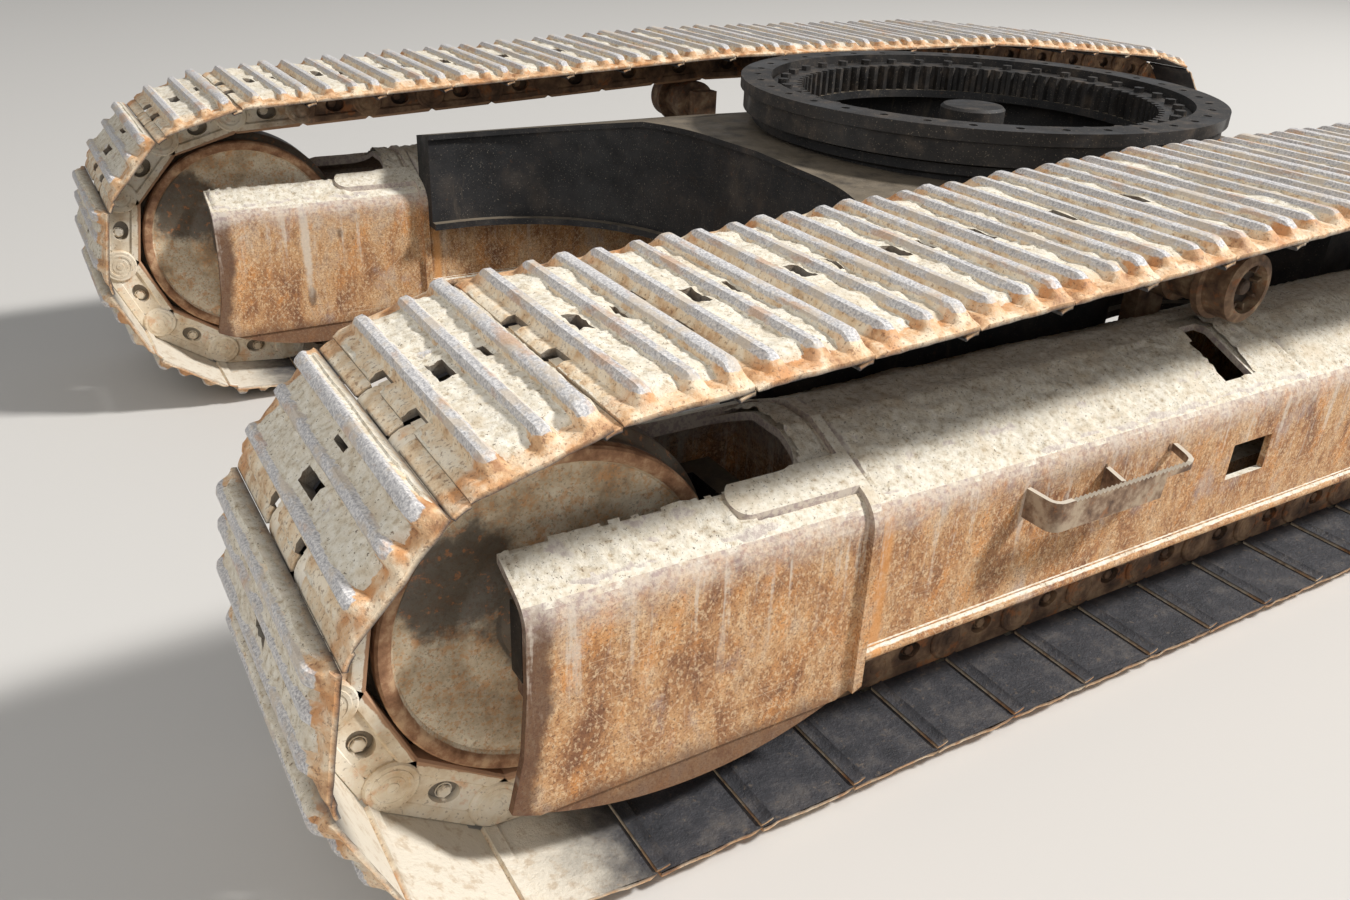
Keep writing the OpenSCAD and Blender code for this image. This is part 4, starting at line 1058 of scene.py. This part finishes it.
def build_idler(side, sign):
    face = extent(f"idler_{side}")[1] / 2 - COVER_H
    bore, hub, tread, flange = 0.0361, 0.082, 0.29, 0.308
    side_face = [(bore, COVER_H), (0.06, COVER_H), (0.062, 0.0035), (0.079, 0.0035), (hub, 0.001),
                 (hub + 0.01, -0.01), (hub + 0.018, -0.0125), (0.15, -0.0125), (0.152, -0.0135),
                 (0.166, -0.0135), (0.168, -0.0125), (0.232, -0.0125), (0.234, -0.0115),
                 (tread - 0.03, -0.0115), (tread - 0.022, -0.002), (tread - 0.018, 0), (tread - 0.004, 0),
                 (tread, -0.004)]
    rim = [(tread, 0.056), (tread + 0.004, 0.05), (flange - 0.003, 0.043), (flange, 0.038)]
    outer = [(r, face + h) for r, h in side_face] + rim
    profile = [(r, -h) for r, h in outer] + outer[::-1]
    points, faces = lathe(profile, 120, "y", (IDLER_X, TRACK_Y, IDLER_Z), closed=True)
    r = np.hypot(points[:, 0] - IDLER_X, points[:, 2] - IDLER_Z)
    patch = np.exp(-((points[:, 0] - OIL_X) ** 2 + (points[:, 2] - OIL_Z) ** 2) / OIL_SPREAD)
    grease = np.maximum(smooth(0.12, 0.08, r), patch)
    off = np.abs(points[:, 1] - TRACK_Y)
    worn = smooth(tread - 0.03, tread - 0.02, r) * (off > 0.06)
    grease = np.maximum(grease, (r > tread - 0.006) & (off < 0.058))
    parts = Parts().add(points, faces, np.c_[np.zeros(len(r)), worn, grease])
    for s in (1, -1):
        bolt_circle(parts, (IDLER_X, IDLER_Z), 6, COVER_BOLTS_R, TRACK_Y + s * (face + 0.0035),
                    (0.0055, 0.0052, 1.25), -s, 0.3, SHADE_AND_GREASE)
    own = f"idler_{side}"
    parts.piece(f"idler_wheel_{side}", "idler_steel", idler_mat, sign, (own,), sharp=28, body=own)


for side, sign in SIDES:
    build_idler(side, sign)


# Carrier rollers: ribs and a hub in the recess of the outer cap, with painted shade in the recess, on its
# ribs and hub
for side, sign in SIDES:
    caps = Parts()
    for x in CARRIER_X:
        floor_y, lip_y = TRACK_Y + CHAIN_W / 2 - 0.014, TRACK_Y + CHAIN_W / 2 + 0.012
        top_y, at = lip_y - 0.007, (x, 0, CARRIER_Z)
        hub = [(0.019, floor_y), (0.016, lip_y - 0.01), (0.012, top_y), (0.0, top_y)]
        recess = [(0.0, floor_y), (0.0525, floor_y + 0.0005), (0.0527, lip_y - 0.003)]
        caps.add(*lathe(hub, 24, "y", at), 0.7 * SHADE_AND_GREASE)
        caps.add(*lathe(recess, 36, "y", at), SHADE_AND_GREASE)
        outline = [(0.036, -0.003), (0.0525, -0.003), (0.0525, 0.003), (0.036, 0.003)]
        for i in range(8):
            rib = extruded(outline, floor_y - 0.001, top_y, 0.0012)
            caps.add(*moved(rib, at, i * math.pi / 4 + 0.25, "Y"), 0.5 * SHADE_AND_GREASE)
    caps.piece(f"carrier_caps_{side}", "roller_steel", roller_mat, sign)


# Final drives: bolts of the cover and of the sprocket, and plugs
for side, sign in SIDES:
    bolts = Parts()
    out_y = max(abs(v[1]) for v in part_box(f"drive_{side}"))
    wheel = SPROCKET_X, SPROCKET_Z
    bolt_circle(bolts, wheel, 12, 0.125, out_y, (0.008, 0.0095, 1.3), -1)
    bolt_circle(bolts, wheel, 3, 0.07, out_y, (0.013, 0.012, 1.4), -1, 0.5)
    bolt_circle(bolts, wheel, 20, 0.241, TRACK_Y - 0.0625, (0.009, 0.01, 1.25), 1)
    bolts.piece(f"drive_bolts_{side}", "drive_housing_steel", drive_mat, sign)


# Nodes whose shape is right keep it, with a finish and, where a width is given, softened edges
FINISH = (
    (plate_mat, 0.0022, "frame guard"),
    (plate_mat, 0.0015, "motor_guard chain_guide"),
    (roller_mat, 0.0015, "carriers rollers"),
    (drive_mat, 0.002, "drive motor"),
    (dark_mat, 0.003, "leg_front leg_rear yoke"),
    (dark_mat, 0, "tub swivel_body"),
    (ring_mat, 0.002, "push_rod"),
    (ring_mat, 0, "ring_inner ring_outer swivel"),
    (idler_mat, 0, "sprocket"),
)
finish_of = {name: (material, width) for material, width, names in FINISH for name in names.split()}
for name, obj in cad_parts.items():
    plain = name if name in finish_of else name.rsplit("_", 1)[0]
    if plain in finish_of:
        material, width = finish_of[plain]
        obj.data.materials.clear()
        obj.data.materials.append(material)
        if width:
            soften(obj, width)


# Stage: floor, light, camera. Each lamp: place, size, power
LAMPS = (((-16.6, 12.1, 21.8), 3.5, 12000), ((4.5, 3.0, 4.0), 4.0, 90))
LAMPS_LOOK_AT = Vector((0.9, 0.7, 0.4))
FLOOR_SIZE, FLOOR_Z = 60, -0.0005


def make_stage():
    bpy.ops.mesh.primitive_plane_add(size=FLOOR_SIZE, location=(0, 0, FLOOR_Z))
    floor = bpy.context.object
    floor.name = "floor"
    s = Shader("floor", 0.9)
    floor.data.materials.append(s.done((196, 192, 186)))
    world = bpy.data.worlds.new("studio")
    scene.world = world
    world.use_nodes = True
    back = world.node_tree.nodes["Background"]
    back.inputs["Color"].default_value = (0.93, 0.96, 1.0, 1)
    back.inputs["Strength"].default_value = 0.35
    for place, size, power in LAMPS:
        light = bpy.data.lights.new("softbox", "AREA")
        light.size = size
        light.energy = power
        lamp = bpy.data.objects.new("softbox", light)
        lamp.location = place
        lamp.rotation_euler = (LAMPS_LOOK_AT - Vector(place)).to_track_quat("-Z", "Y").to_euler()
        scene.collection.objects.link(lamp)


CAMERA_AT = Vector((2.558, 2.4956, 1.4875))
CAMERA_RIGHT = Vector((-0.8586, 0.5111, 0.0398))
CAMERA_UP = Vector((-0.204, -0.4119, 0.8881))
LENS_MM = 29.66


def make_camera():
    data = bpy.data.cameras.new("camera")
    data.sensor_width = 36
    data.lens = LENS_MM
    data.clip_end = 100
    camera = bpy.data.objects.new("camera", data)
    back = CAMERA_RIGHT.cross(CAMERA_UP).normalized()
    up = back.cross(CAMERA_RIGHT).normalized()
    right = up.cross(back)
    turn = Matrix((right, up, back)).transposed()
    camera.matrix_world = Matrix.Translation(CAMERA_AT) @ turn.to_4x4()
    scene.collection.objects.link(camera)
    scene.camera = camera


make_stage()
make_camera()
scene.view_settings.view_transform = "Standard"
